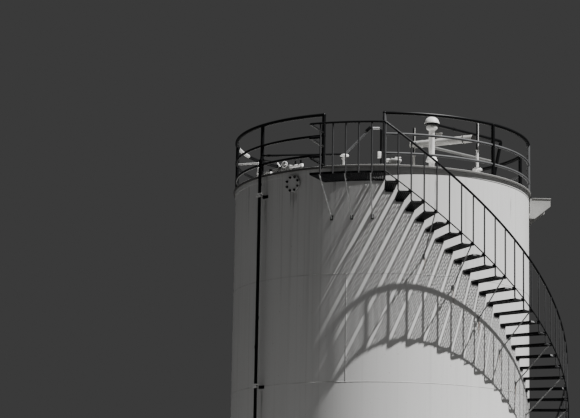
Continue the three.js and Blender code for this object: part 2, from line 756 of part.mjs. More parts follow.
// Small-bore pipe along the left of the roof edge on short stools, with a valve in it, a fitting at
// its far end and a raking bar off that
function roofPipework() {
  const r = EDGE_PIPE_R;
  const onRoofTop = roofHeight(r);
  const stops = spread(-34, EDGE_END, 4).map((b) => at(r, b, EDGE_PIPE_Z));
  const [barEnd, barFoot] = EDGE_BAR.map((p) => new THREE.Vector3(...p));
  const corner = at(r, EDGE_END, EDGE_PIPE_Z);
  const [valveStart, valveEnd, valveD] = EDGE_VALVE;
  const [bonnet, bonnetD, bonnetH] = EDGE_BONNET;
  const [crossLow, crossHigh, crossD] = EDGE_CROSS;
  const pieces = [
    pipe(stops, EDGE_PIPE_D, 30),
    bar(barEnd, barFoot, 38, 8),
    bar(barFoot, corner, 34, 8),
    bar(barFoot, barFoot.clone().setZ(BELOW_ROOF), 34, 8),
    bar(at(r, valveStart, EDGE_PIPE_Z), at(r, valveEnd, EDGE_PIPE_Z), valveD, 10),
    bar(at(r, bonnet, EDGE_PIPE_Z), at(r, bonnet, EDGE_PIPE_Z + bonnetH), bonnetD, 8),
    upDisc(corner.x, corner.y, crossLow, crossHigh, crossD, 10),
  ];
  EDGE_STOOLS.forEach((b) => {
    pieces.push(bar(at(r, b, BELOW_ROOF), at(r, b, EDGE_PIPE_Z), 34, 8));
    pieces.push(radialBlock(r - 45, r + 45, 90, onRoofTop - SUNK, onRoofTop + 12, b));
  });
  EDGE_STUBS.forEach((b) => {
    pieces.push(bar(at(r, b, EDGE_PIPE_Z), at(r, b, EDGE_PIPE_Z + 75), 34, 8));
  });
  add('roof_pipework', onRoof(join(pieces)), WHITE_PAINT);
}

bottomPlate();
shellPlates();
curbAngle();
roofPlate();
guardrails();
for (let n = 0; n < FLIGHTS; n += 1) {
  flight(n);
  stairRail(n);
}
landingFrame();
landingGrating();
landingRail();
bridgeSeat();
riserPipes();
nozzle('shell_nozzle', -34.8, 9763, 168, 320, 24, 18);
nozzle('outlet_nozzle', -75, 350, 168, 285, 180, 22);
nozzle('shell_manway', -110, 800, 610, 790, 200, 24);
ventStack();
breatherPipe();
smallVent();
gaugeHatch();
gaugePole();
roofPipework();

export default tank;
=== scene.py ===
# Upright storage tank: welded shell, cone roof, guardrail, landing, open spiral stair and roof fittings.
# Metres; bearings are in degrees round the tank, 0 towards -Y and growing towards +X.

import math

import bmesh
import bpy
from mathutils import Matrix, Vector


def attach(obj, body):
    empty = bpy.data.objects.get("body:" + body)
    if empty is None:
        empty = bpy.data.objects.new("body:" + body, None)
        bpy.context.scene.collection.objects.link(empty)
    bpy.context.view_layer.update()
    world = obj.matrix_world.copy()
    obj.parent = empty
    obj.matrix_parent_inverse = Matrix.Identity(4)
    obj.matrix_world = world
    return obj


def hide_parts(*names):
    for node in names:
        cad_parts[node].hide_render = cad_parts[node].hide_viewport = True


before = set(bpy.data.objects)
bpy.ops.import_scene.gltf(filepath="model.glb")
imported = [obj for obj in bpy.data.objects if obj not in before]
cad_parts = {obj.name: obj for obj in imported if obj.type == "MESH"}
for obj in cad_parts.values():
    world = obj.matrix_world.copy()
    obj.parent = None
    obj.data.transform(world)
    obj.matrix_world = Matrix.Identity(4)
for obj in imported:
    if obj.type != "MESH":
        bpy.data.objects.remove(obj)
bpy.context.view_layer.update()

# Shell, rim and roof
SHELL_R = 2.9
WALL = 0.008
COURSE = 2.0
COURSES = 5
SHELL_FOOT = 0.0085
SHELL_TOP = 10.012
BOTTOM_T = 0.008
CHIME_R = 2.95
SEAT_GAP = 0.0003
PLATE_GAP = 0.0004
WELD_BEARING = -12.6
WELD_SHIFTS = [5, -3, 10, 0, 13]
SHIFT_DEG = 7.5
WELD_FOOT, UNDER_CURB = 0.02, 9.92
CURB_LOW, CURB_SHELF = 9.925, 10.0
RIM_R = 2.946
RIM_TOP = 10.04
RIM_IN = 2.876
RIM_EASE = 0.001
ROOF_SLOPE = 1 / 8
ROOF_T = 0.008
ROOF_LAPS = 12
LAP_R, LAP_LENGTH, LAP_WIDTH, LAP_T = 1.6, 2.5, 0.05, 0.006
LAP_BEARING = 9
ROOF_RINGS = [1.25, 2.1]
ROOF_CAP_R = 0.4

# Guardrail
TOP_RAIL_Z, MID_RAIL_Z, LOW_RAIL_Z = 11.03, 10.63, 10.26
TOP_RAIL_D, MID_RAIL_D, POST_D = 0.07, 0.05, 0.07
POST_FOOT_R = 2.911
POST_BOLT_ASIDE = 0.042
GATE_POST = -22.2
PALE_POSTS = [0.8, 84]
# Bearings of the far top rail stretch drawn pale as painted highlight
PAINTED_HIGHLIGHT_FROM, PAINTED_HIGHLIGHT_TO = -95, -109.5

# Stair and landing
RISERS = 54
FLIGHTS = 6
FLIGHT_STEPS = 9
LANDING_Z = 9.774
RISE = LANDING_Z / RISERS
STAIR_BEARING = 0.84
STEP_DEG = 3.815
TREAD_R = 3.612
TREAD_T = 0.035
TREAD_INNER = SHELL_R + 0.006
EDGE_BAR_T = 0.005
STRING_R = 3.6513
STRING_D = 0.024
STRING_SINK = 0.016
STRING_START_DEG, STRING_END_DEG = 0.18, 0.17
BALUSTER_R = 3.627
BALUSTER_D = 0.029
HANDRAIL_H = 0.915
HANDRAIL_D = 0.042
RAIL_LAP = 0.5
LUG_OFF_DEG = 0.6
BRACE_EVERY = 3
BRACE_D = 0.024
BRACE_DROP = 0.69
BRACE_OFF_DEG = 0.35
LOWEST_PAD = 0.09
LANDING_END = -21.6
LANDING_EDGE = 0.04
LANDING_BAR = 0.01
LANDING_GAP = 0.003
LANDING_STEPS = 5
LANDING_PANELS = 4
PANEL_EDGE_R, PANEL_EDGE_LENGTH = 3.258, 0.67
LANDING_RAILS = [0.65, 0.29]
STRUT_STEPS = [-5, -3, -1]

# Bar grating
BAR_PITCH = 0.0375
BAR_T = 0.005
SHORTEST_BAR = 0.04
TREAD_BAR_DEPTH = 0.028
LANDING_BAR_DEPTH = 0.037
CRIMP_LEG = 0.03
CRIMP_T = 0.003
CRIMP_CLEAR = 0.012
TREAD_CRIMP_DEPTH = 0.013
LANDING_CRIMP_DEPTH = 0.006

# Bracket high on the right of the shell
SEAT_BEARING = 94.5
SEAT_LOW, SEAT_LIP, SEAT_TOP = 9.58, 9.83, 9.978
SEAT_TOE_R, SEAT_REACH = 3.0, 3.31
SEAT_BOLTS = [-0.3, -0.1, 0.1, 0.3]
SEAT_T = 0.012
GUSSET_ASIDE = 0.372

# Riser pipes and the conduit that they become over the roof
RISER_BEARING = -49.6
RISER_R = 3.045
RISER_ASIDE = 0.021
RISER_D = 0.034
CLAMP_HEIGHTS = [2.35, 5.98, 9.61]
RIGHT_UNIONS = [1.2, 4.3, 7.25, 9.8]
LEFT_UNIONS = [2.9, 6.7, 9.95]
SLEEVE_D = 0.046
RETURN_R = 2.61
CONDUIT_Z, CONDUIT_HIGH_Z = 10.39, 10.935
CONDUIT_RISE_X, CONDUIT_DROP_X = -0.703, -0.02
CONDUIT_DROP_R = 1.98

# Roof fittings: a place is the X and Y of an upright axis or of the end of a level pipe
STACK = (0.956, -1.3)
STACK_LINE_Z, STACK_LINE_D = 11.19, 0.066
STACK_LINE_UNIONS = [0.55, 1.25]
STACK_LINE_END = (2.37, 0.09)
BREATHER_Z = 10.885
BREATHER_LEFT, BREATHER_RIGHT = (0.56, -0.833), (1.571, -1.366)
BREATHER_D = 0.142
BREATHER_STRAPS = [0.22, 0.75]
BREATHER_POLE = (0.62, -0.885)
BREATHER_FAR = (2.235, 0.615)
SMALL_VENT = (-0.712, -2.15)
DIP_HATCH = (0.24, -2.35)
DIP_HATCH_H = 0.15
GAUGE_POST = (1.81, -1.9)
EDGE_PIPE_R, EDGE_PIPE_Z = 2.7, 10.16
EDGE_PIPE_START, EDGE_PIPE_END = -34, -61
EDGE_PIPE_LEGS = [-34.5, -42, -51, -58.5]


def at(radius, bearing, z):
    a = math.radians(bearing)
    return Vector((radius * math.sin(a), -radius * math.cos(a), z))


def station(radius, bearing, z):
    """Local axes at a point on the tank: X outwards, Y round the tank, Z up."""
    return Matrix.Translation(at(radius, bearing, z)) @ Matrix.Rotation(math.radians(bearing - 90), 4, "Z")


def offset(x, y, z):
    return Matrix.Translation((x, y, z))


def lift(z):
    return Vector((0, 0, z))


def nosing(k):
    return STAIR_BEARING + k * STEP_DEG


def tread_top(k):
    return LANDING_Z - k * RISE


def rail_lap_z(k):
    return tread_top(k) + HANDRAIL_H - RISE * RAIL_LAP / STEP_DEG


def is_braced(k):
    return k > 1 and (k - 1) % BRACE_EVERY == 0


def roof_height(radius):
    return RIM_TOP + (RIM_IN - radius) * ROOF_SLOPE


def on_roof(radius, bearing, rise):
    """Local axes at a point over the roof, tilted with its slope."""
    tilt = Matrix.Rotation(math.atan(ROOF_SLOPE), 4, "Y")
    return station(radius, bearing, roof_height(radius) + rise) @ tilt


# Shapes


def turned(bm, profile, start=0.0, sweep=360.0, step=2.5, centre=(0, 0)):
    """A section of (radius, height) points spun about an upright axis, closed at its ends."""
    loop = [bm.verts.new(at(r, start, z) + Vector((*centre, 0))) for r, z in profile]
    steps = max(1, round(sweep / step))
    turn = dict(cent=(*centre, 0), axis=(0, 0, 1), angle=math.radians(sweep), steps=steps)
    if sweep < 360:
        face = bm.faces.new(loop)
        bmesh.ops.spin(bm, geom=[face, *face.edges, *loop], **turn)
        return
    on_axis = profile[0][0] == 0
    pairs = list(zip(loop, loop[1:])) + ([] if on_axis else [(loop[-1], loop[0])])
    edges = [bm.edges.new(pair) for pair in pairs]
    bmesh.ops.spin(bm, geom=loop + edges, use_merge=True, **turn)


def edges_of(verts):
    """The edges that meet some vertices, each once and in a fixed order."""
    return list(dict.fromkeys(edge for vert in verts for edge in vert.link_edges))


def block(bm, size, place, soften=0.0):
    made = bmesh.ops.create_cube(bm, size=1, matrix=place @ Matrix.Diagonal((*size, 1)))
    if soften:
        bmesh.ops.bevel(bm, geom=edges_of(made["verts"]), offset=soften, segments=2, profile=0.5,
                        affect="EDGES", material=-1)


def drum(bm, place, radius0, radius1, z0, z1, sides=48):
    """A round body about the place's Z, between two heights there."""
    bmesh.ops.create_cone(bm, cap_ends=True, segments=sides, radius1=radius0, radius2=radius1,
                          depth=z1 - z0, matrix=place @ offset(0, 0, (z0 + z1) / 2))


def ball(bm, centre, radius):
    bmesh.ops.create_uvsphere(bm, u_segments=16, v_segments=8, radius=radius,
                              matrix=Matrix.Translation(centre))


def bar(bm, a, b, diameter, sides=16, end_diameter=None):
    """A straight round bar between two points, tapered where its far end has a size of its own."""
    a, b = Vector(a), Vector(b)
    along = b - a
    place = Matrix.Translation((a + b) / 2) @ along.to_track_quat("Z", "Y").to_matrix().to_4x4()
    last = diameter if end_diameter is None else end_diameter
    bmesh.ops.create_cone(bm, cap_ends=True, segments=sides, radius1=diameter / 2, radius2=last / 2,
                          depth=along.length, matrix=place)


def disc(bm, centre, z0, z1, diameter, sides=32, soften=0.0):
    """A round plate on an upright axis, with its rims eased."""
    r, e = diameter / 2, soften
    section = [(0, z0), (r - e, z0), (r, z0 + e), (r, z1 - e), (r - e, z1), (0, z1)]
    if not e:
        section = [(0, z0), (r, z0), (r, z1), (0, z1)]
    turned(bm, section, step=360 / sides, centre=centre)


def roof_flange(bm, centre, base, diameter, sink=0.01, rise=0.012, sides=20):
    """The round foot plate of a pipe or pole that stands on the roof."""
    disc(bm, centre, base - sink, base + rise, diameter, sides, 0.003)


def round_face(bm, diameter, sides, place):
    """A filled circle, ready to be drawn out into a bar."""
    ring = bmesh.ops.create_circle(bm, cap_ends=True, radius=diameter / 2, segments=sides, matrix=place)
    return next(face for face in ring["verts"][0].link_faces if len(face.verts) == sides)


def first_face(geometry):
    return next(item for item in geometry if isinstance(item, bmesh.types.BMFace))


def draw_out(bm, face, reach):
    """Extrudes a face along a vector and gives the face at the far end."""
    made = bmesh.ops.extrude_face_region(bm, geom=[face])["geom"]
    verts = [item for item in made if isinstance(item, bmesh.types.BMVert)]
    bmesh.ops.translate(bm, vec=reach, verts=verts)
    return first_face(made)


def hoop(bm, radius, start, end, z0, z1, diameter, step=2.0, sides=14):
    """A round bar that follows the tank round, level or falling."""
    steps = max(2, round(abs(end - start) / step))
    fall = math.atan2(z0 - z1, radius * math.radians(abs(end - start)))
    lean = math.pi / 2 - fall if end > start else math.pi / 2 + fall
    face = round_face(bm, diameter, sides, station(radius, start, z0) @ Matrix.Rotation(lean, 4, "X"))
    bmesh.ops.spin(bm, geom=[face, *face.edges, *face.verts], cent=(0, 0, 0), axis=(0, 0, 1),
                   dvec=(0, 0, (z1 - z0) / steps), angle=math.radians(end - start), steps=steps)


def pipe_run(bm, points, diameter, bend=0.05, sides=16, corner_steps=6):
    """A pipe along straight runs, with a round elbow at each corner."""
    points = [Vector(p) for p in points]
    heading = (points[1] - points[0]).normalized()
    place = Matrix.Translation(points[0]) @ heading.to_track_quat("Z", "Y").to_matrix().to_4x4()
    face = round_face(bm, diameter, sides, place)
    here = points[0]
    for i in range(1, len(points)):
        onward = (points[i + 1] - points[i]).normalized() if i + 1 < len(points) else None
        turn = heading.angle(onward) if onward else 0.0
        trim = bend * math.tan(turn / 2) if turn > 0.01 else 0.0
        reach = points[i] - heading * trim - here
        far_face = draw_out(bm, face, reach)
        if i > 1:
            bm.faces.remove(face)
        face = far_face
        here = here + reach
        if trim:
            axis = heading.cross(onward).normalized()
            made = bmesh.ops.spin(bm, geom=[face, *face.edges, *face.verts], axis=axis, angle=turn,
                                  cent=here + axis.cross(heading) * bend, steps=corner_steps)
            face = first_face(made["geom_last"])
            here = face.calc_center_median()
            heading = onward


def bolt(bm, place, across, height, washer=True):
    """A hexagon nut with a stub of thread and a washer, standing along the place's X axis."""
    lie = place @ Matrix.Rotation(math.pi / 2, 4, "Y")
    if washer:
        drum(bm, lie, across * 0.68, across * 0.66, 0, height * 0.3, 14)
    drum(bm, lie, across * 0.56, across * 0.52, 0, height, 6)
    drum(bm, lie, across * 0.28, across * 0.24, height * 0.9, height * 1.5, 8)


def upright_bolt(bm, point, across, height):
    bolt(bm, Matrix.Translation(point) @ Matrix.Rotation(-math.pi / 2, 4, "Y"), across, height)


def plate(bm, outline, thickness, place):
    """A flat plate cut to an outline, given in the place's X and Z, thick along its Y."""
    verts = [bm.verts.new(place @ Vector((x, -thickness / 2, z))) for x, z in outline]
    draw_out(bm, bm.faces.new(verts), place.to_3x3() @ Vector((0, thickness, 0)))


def weld_down(bm, bearing, z0, z1):
    """An upright weld bead on the shell."""
    place = station(SHELL_R, bearing, (z0 + z1) / 2)
    block(bm, (0.007, 0.014, z1 - z0), place, soften=0.003)


def weld_round(bm, radius, z, width=0.014, height=0.0032):
    """A level weld bead round the shell."""
    root, shoulder = radius - 0.001, radius + height * 0.7
    turned(bm, [(root, z - width / 2), (shoulder, z - width / 4), (radius + height, z),
                (shoulder, z + width / 4), (root, z + width / 2)])


# Finishes


class Finish:
    """Builds one painted or bare surface out of nodes on object coordinates."""

    def __init__(self, name, slot, colour, roughness, metallic=0.0):
        self.material = bpy.data.materials.new(name)
        self.material.use_nodes = True
        self.tree = self.material.node_tree
        self.shader = self.tree.nodes["Principled BSDF"]
        self.shader.inputs["Metallic"].default_value = metallic
        self.slot = slot
        self.colour = (*colour, 1)
        self.rough = roughness
        self.place = self.tree.nodes.new("ShaderNodeTexCoord").outputs["Object"]
        self.height = None
        parts = self.put("ShaderNodeSeparateXYZ", Vector=self.place)
        self.x, self.y, self.z = parts.outputs

    def put(self, kind, options=(), **sockets):
        node = self.tree.nodes.new(kind)
        for key, value in dict(options).items():
            setattr(node, key, value)
        for key, value in sockets.items():
            self.feed(node.inputs[key], value)
        return node

    def feed(self, socket, value):
        if isinstance(value, bpy.types.NodeSocket):
            self.tree.links.new(value, socket)
        else:
            socket.default_value = value

    def calc(self, operation, *values, clamp=False):
        node = self.put("ShaderNodeMath", {"operation": operation, "use_clamp": clamp})
        for socket, value in zip(node.inputs, values):
            self.feed(socket, value)
        return node.outputs[0]

    def plus(self, a, b):
        return self.calc("ADD", a, b)

    def minus(self, a, b):
        return self.calc("SUBTRACT", a, b)

    def times(self, a, b):
        return self.calc("MULTIPLY", a, b)

    def over(self, a, b):
        return self.calc("DIVIDE", a, b)

    def above(self, value, limit):
        return self.calc("GREATER_THAN", value, limit)

    def stretched(self, x, y, z):
        return self.put("ShaderNodeMapping", Vector=self.place, Scale=(x, y, z)).outputs[0]

    def noise(self, scale, detail=3.0, rough=0.55, place=None):
        node = self.put("ShaderNodeTexNoise", Vector=place or self.place, Scale=scale, Detail=detail,
                        Roughness=rough)
        return node.outputs["Fac"]

    def ease(self, value, low, high, a=0.0, b=1.0):
        """Goes smoothly from a to b while a value goes from low to high."""
        node = self.put("ShaderNodeMapRange", {"interpolation_type": "SMOOTHSTEP"}, Value=value)
        for key, number in zip(("From Min", "From Max", "To Min", "To Max"), (low, high, a, b)):
            self.feed(node.inputs[key], number)
        return node.outputs[0]

    def blend(self, amount, colour):
        """Lays a colour over what is there so far, as far as a mask says."""
        node = self.put("ShaderNodeMix", {"data_type": "RGBA"})
        self.feed(node.inputs[0], amount)
        self.feed(node.inputs[6], self.colour)
        self.feed(node.inputs[7], (*colour, 1))
        self.colour = node.outputs[2]

    def rougher(self, amount, value):
        node = self.put("ShaderNodeMix", {"data_type": "FLOAT"})
        self.feed(node.inputs[0], amount)
        self.feed(node.inputs[2], self.rough)
        self.feed(node.inputs[3], value)
        self.rough = node.outputs[0]

    def relief(self, height, distance, strength=1.0):
        node = self.put("ShaderNodeBump", Height=height, Distance=distance, Strength=strength)
        if self.height:
            self.feed(node.inputs["Normal"], self.height)
        self.height = node.outputs[0]

    def done(self):
        self.feed(self.shader.inputs["Base Color"], self.colour)
        self.feed(self.shader.inputs["Roughness"], self.rough)
        if self.height:
            self.feed(self.shader.inputs["Normal"], self.height)
        return self


RUST = (0.17, 0.095, 0.055)
GRIME = (0.16, 0.155, 0.145)
SEAM_DIRT = (0.33, 0.32, 0.30)
SPLASHED_DIRT = (0.24, 0.21, 0.18)
RIM_GREY = (0.112, 0.11, 0.105)
BROWN_PRIMER = (0.17, 0.1, 0.065)

# Stains that run down the shell: bearing, height of the top, half width and length
RUNS = [
    (-34.8, 9.60, 0.045, 0.75), (-33.6, 9.62, 0.02, 0.4), (-36.2, 9.63, 0.02, 0.5),
    (94.5, 9.58, 0.05, 1.1), (86.5, 9.58, 0.04, 0.8), (102.4, 9.58, 0.04, 0.9),
    (-49.6, 9.55, 0.05, 0.7), (-49.6, 5.92, 0.05, 0.9), (-49.6, 2.29, 0.05, 0.7),
    (-75.0, 0.26, 0.1, 0.25), (-110.0, 0.5, 0.2, 0.5), (-17.5, 9.9, 0.05, 0.8),
    (20.0, 9.93, 0.035, 1.3), (58.0, 9.93, 0.03, 1.1), (-62.0, 9.93, 0.04, 1.2),
    (132.0, 9.93, 0.05, 1.6), (163.0, 9.93, 0.04, 1.2), (-128.0, 9.93, 0.05, 1.5),
]


def rim_band(f, inside, below):
    """Mask of the rim's upright outer face: outside a radius, from the curb's shelf up to a height."""
    radius = f.calc("SQRT", f.plus(f.times(f.x, f.x), f.times(f.y, f.y)))
    band = f.times(f.ease(f.z, below, below + 0.004, 1.0, 0.0), f.above(f.z, CURB_SHELF - 0.0035))
    return f.times(f.above(radius, inside), band)


def bearing_of(f):
    """Bearing round the tank in radians, from the surface's own place."""
    return f.calc("ARCTAN2", f.x, f.times(f.y, -1.0))


def streak_mask(f):
    """Fine streaks of rain, strongest under the rim."""
    fine = f.noise(1.0, 3, 0.6, f.stretched(13, 13, 0.22))
    return f.times(f.ease(fine, 0.5, 0.8, 0.0, 0.5), f.ease(f.z, 4.0, 9.9, 0.35, 1.0))


def seam_mask(f):
    """Dirt caught along the level seams."""
    share = f.calc("FRACT", f.plus(f.over(f.z, COURSE), 0.5))
    off = f.calc("ABSOLUTE", f.minus(share, 0.5))
    return f.times(f.ease(off, 0.0, 0.010, 1.0, 0.0), f.ease(f.noise(2.5, 4), 0.35, 0.7, 0.12, 0.5))


def brace_rust_mask(f, bearing, ragged):
    """Rust under the brace pads, which step down the shell at an even pitch."""
    turns = f.over(f.minus(f.times(bearing, 180 / math.pi), STAIR_BEARING), STEP_DEG)
    turns = f.plus(turns, f.times(f.calc("LESS_THAN", turns, -8.0), 360 / STEP_DEG))
    pad = f.calc("ROUND", f.over(f.minus(turns, 1.0), BRACE_EVERY))
    pad = f.plus(f.times(pad, BRACE_EVERY), 1.0)
    first_z = LANDING_Z - TREAD_T / 2 - BRACE_DROP - 0.04
    step_arc = math.radians(STEP_DEG) * SHELL_R
    off = f.calc("ABSOLUTE", f.times(f.minus(turns, pad), step_arc))
    down = f.minus(f.minus(first_z, f.times(pad, RISE)), f.z)
    narrow = f.ease(down, 0, 0.35, 0.045, 0.02)
    across = f.calc("SUBTRACT", 1.0, f.over(f.plus(off, ragged), narrow), clamp=True)
    fade = f.times(f.ease(down, -0.02, 0.01), f.ease(down, 0.02, 0.42, 1.0, 0.0))
    return f.times(f.times(across, fade), f.above(pad, 1.5))


def run_below(f, bearing, ragged, where, z, width, length):
    """Mask of a stain that starts at a height and thins out as it runs down."""
    aside = f.calc("ABSOLUTE", f.times(f.minus(bearing, math.radians(where)), SHELL_R))
    down = f.minus(z, f.z)
    narrow = f.ease(down, 0.0, length, width, width * 0.35)
    across = f.calc("SUBTRACT", 1.0, f.over(f.plus(aside, ragged), narrow), clamp=True)
    fade = f.ease(down, 0.0, length, 1.0, 0.0)
    return f.times(f.times(across, fade), f.ease(down, -0.01, 0.02))


def stain_mask(f, bearing, ragged):
    stains = None
    for where, z, width, length in RUNS:
        one = run_below(f, bearing, ragged, where, z, width, length)
        stains = one if stains is None else f.calc("MAXIMUM", stains, one)
    return stains


def shell_finish():
    f = Finish("weathered_shell_paint", "shell_paint", (0.76, 0.755, 0.74), 0.5)
    bearing = bearing_of(f)
    ragged = f.ease(f.noise(1.0, 3, 0.6, f.stretched(30, 30, 3)), 0.3, 0.7, -0.012, 0.03)
    f.blend(f.ease(f.noise(0.55, 3), 0.35, 0.75, 0.0, 0.16), (0.58, 0.575, 0.56))
    streaks = streak_mask(f)
    f.blend(streaks, (0.44, 0.435, 0.42))
    broad = f.noise(1.0, 2, 0.5, f.stretched(3.2, 3.2, 0.12))
    f.blend(f.ease(broad, 0.5, 0.75, 0.0, 0.16), (0.5, 0.495, 0.48))
    f.blend(seam_mask(f), SEAM_DIRT)
    f.blend(f.times(brace_rust_mask(f, bearing, ragged), 0.8), RUST)
    f.blend(f.times(stain_mask(f, bearing, ragged), 0.6), GRIME)
    splash = f.times(f.ease(f.z, 0.0, 0.7, 1.0, 0.0), f.ease(f.noise(5.0, 5), 0.3, 0.75))
    f.blend(f.times(splash, 0.6), SPLASHED_DIRT)
    f.blend(rim_band(f, SHELL_R + 0.011, RIM_TOP), RIM_GREY)
    specks = f.ease(f.noise(26, 2), 0.71, 0.76)
    f.blend(f.times(specks, 0.35), RUST)
    f.rougher(streaks, 0.72)
    f.relief(f.noise(1.0, 2, place=f.stretched(0.9, 0.9, 0.5)), 0.010, 0.35)
    f.relief(f.noise(160, 2), 0.0006, 0.35)
    return f.done()


def roof_finish():
    f = Finish("weathered_roof_paint", "roof_paint", (0.62, 0.615, 0.6), 0.55)
    f.blend(f.ease(f.noise(0.9, 4, 0.6), 0.4, 0.7, 0.0, 0.45), (0.45, 0.44, 0.42))
    f.blend(f.ease(f.noise(4.5, 5, 0.65), 0.52, 0.72, 0.0, 0.4), (0.36, 0.34, 0.31))
    f.blend(f.ease(f.noise(17, 3), 0.68, 0.76, 0.0, 0.55), RUST)
    f.blend(rim_band(f, RIM_R - 0.003, RIM_TOP - 0.008), RIM_GREY)
    f.rougher(f.ease(f.noise(4.5, 5, 0.65), 0.5, 0.7), 0.8)
    f.relief(f.noise(1.3, 2), 0.012, 0.4)
    f.relief(f.noise(140, 2), 0.0008, 0.4)
    return f.done()


def worn_paint(name, slot, colour, roughness, under, chips=0.72, dust=(0.2, 0.195, 0.18), dusty=0.25,
               shine=0.5):
    """Paint that is paler in patches, dusty where it faces up, and chipped down to what is under it."""
    f = Finish(name, slot, colour, roughness)
    f.shader.inputs["Specular IOR Level"].default_value = shine
    f.blend(f.ease(f.noise(3.0, 3), 0.35, 0.75, 0.0, 0.35), tuple(c * 1.6 + 0.002 for c in colour))
    normal = f.put("ShaderNodeNewGeometry").outputs["Normal"]
    facing_up = f.put("ShaderNodeSeparateXYZ", Vector=normal).outputs[2]
    settled = f.times(f.ease(facing_up, 0.3, 1.0, 0.0, dusty), f.ease(f.noise(14, 4), 0.35, 0.7))
    f.blend(settled, dust)
    chipped = f.ease(f.noise(22, 4, 0.6), chips, chips + 0.035)
    f.blend(chipped, under)
    f.rougher(f.calc("MAXIMUM", chipped, settled), 0.85)
    f.relief(f.noise(90, 3), 0.0005, 0.4)
    f.relief(chipped, -0.0006, 0.5)
    return f.done()


def galvanised_finish():
    f = Finish("dulled_galvanising", "galvanised", (0.36, 0.365, 0.37), 0.55, metallic=0.35)
    spangle = f.put("ShaderNodeTexVoronoi", Vector=f.place, Scale=60.0).outputs["Color"]
    tone = f.put("ShaderNodeSeparateColor", Color=spangle).outputs[0]
    f.blend(f.ease(tone, 0.0, 1.0, 0.0, 0.35), (0.5, 0.505, 0.51))
    f.blend(f.ease(f.noise(6, 4), 0.45, 0.75, 0.0, 0.5), (0.26, 0.26, 0.25))
    f.blend(f.ease(f.noise(18, 4), 0.66, 0.76, 0.0, 0.6), RUST)
    f.rougher(f.ease(f.noise(9, 3), 0.3, 0.7), 0.7)
    f.relief(f.noise(120, 2), 0.0004, 0.4)
    return f.done()


def bare_plate_finish():
    f = Finish("rusted_bottom_plate", "bottom_steel", (0.12, 0.085, 0.065), 0.85, metallic=0.1)
    f.blend(f.ease(f.noise(9, 5, 0.65), 0.4, 0.65, 0.0, 0.8), (0.2, 0.11, 0.06))
    f.blend(f.ease(f.noise(40, 4), 0.55, 0.7, 0.0, 0.7), (0.07, 0.055, 0.05))
    f.relief(f.noise(70, 5), 0.002, 0.6)
    return f.done()


shell_paint = shell_finish()
roof_paint = roof_finish()
galvanised = galvanised_finish()
bare_plate = bare_plate_finish()

dark_paint = worn_paint("dark_rail_paint", "dark_paint", (0.005, 0.0052, 0.0056), 0.36,
                        under=(0.08, 0.055, 0.04), chips=0.76, dusty=0.03, shine=0.14)
baluster_paint = worn_paint("worn_baluster_paint", "dark_paint", (0.042, 0.042, 0.043), 0.5,
                            under=(0.1, 0.07, 0.05), chips=0.74, dusty=0.05, shine=0.3)
black_bolts = worn_paint("blackened_bolts", "dark_paint", (0.012, 0.011, 0.010), 0.7,
                         under=(0.07, 0.045, 0.03), chips=0.74, dusty=0.05, shine=0.2)
rusty_bolts = worn_paint("rusted_bolts", "dark_paint", (0.05, 0.04, 0.034), 0.7,
                         under=(0.2, 0.11, 0.06), chips=0.5)
# A paler copy of the tread paint for the tread end plates: painted highlight where the sun lights them
tread_rim_highlight_paint = worn_paint("worn_tread_rim_painted_highlight", "dark_paint", (0.2, 0.2, 0.2), 0.55,
                            under=(0.15, 0.1, 0.07), chips=0.66, shine=0.4)
rod_grey = worn_paint("worn_brace_grey", "dark_paint", (0.26, 0.26, 0.256), 0.6,
                      under=BROWN_PRIMER, chips=0.68)
# Pale paint of the landing struts, also used for the painted highlight on the far top rail
pale_strut_and_highlight_paint = worn_paint("worn_strut_and_highlight_paint", "dark_paint", (0.6, 0.6, 0.59), 0.6,
                        under=BROWN_PRIMER, chips=0.7)
grey_rail = worn_paint("dull_grey_rail", "galvanised", (0.085, 0.086, 0.088), 0.6,
                       under=(0.13, 0.09, 0.065), dusty=0.15, shine=0.3)
pipe_grey = worn_paint("dulled_pipe_paint", "white_paint", (0.40, 0.395, 0.38), 0.6,
                       under=RUST, chips=0.71, dusty=0.3)
thin_pipe_grey = worn_paint("dulled_line_paint", "white_paint", (0.13, 0.13, 0.126), 0.65,
                            under=RUST, chips=0.71, dusty=0.2)
white_paint = worn_paint("chalky_white_paint", "white_paint", (0.78, 0.775, 0.76), 0.5,
                         under=RUST, chips=0.71, dust=(0.5, 0.49, 0.46), dusty=0.45)


# Pieces


def piece(name, bm, finish, nodes=(), crease=32):
    """Makes a finished object of a bmesh: it rides on the tank and may stand for the frame's nodes."""
    bmesh.ops.remove_doubles(bm, verts=bm.verts[:], dist=1e-6)
    bmesh.ops.recalc_face_normals(bm, faces=bm.faces[:])
    mesh = bpy.data.meshes.new(name)
    bm.to_mesh(mesh)
    bm.free()
    mesh.materials.append(finish.material)
    mesh.shade_smooth()
    mesh.set_sharp_from_angle(angle=math.radians(crease))
    obj = bpy.data.objects.new(name, mesh)
    bpy.context.scene.collection.objects.link(obj)
    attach(obj, "root")
    if nodes:
        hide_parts(*nodes)


def bottom_disc():
    bm = bmesh.new()
    turned(bm, [(0, 0.0), (CHIME_R, 0.0), (CHIME_R, BOTTOM_T), (0, BOTTOM_T)])
    piece("bottom_disc", bm, bare_plate, ["bottom_plate"])


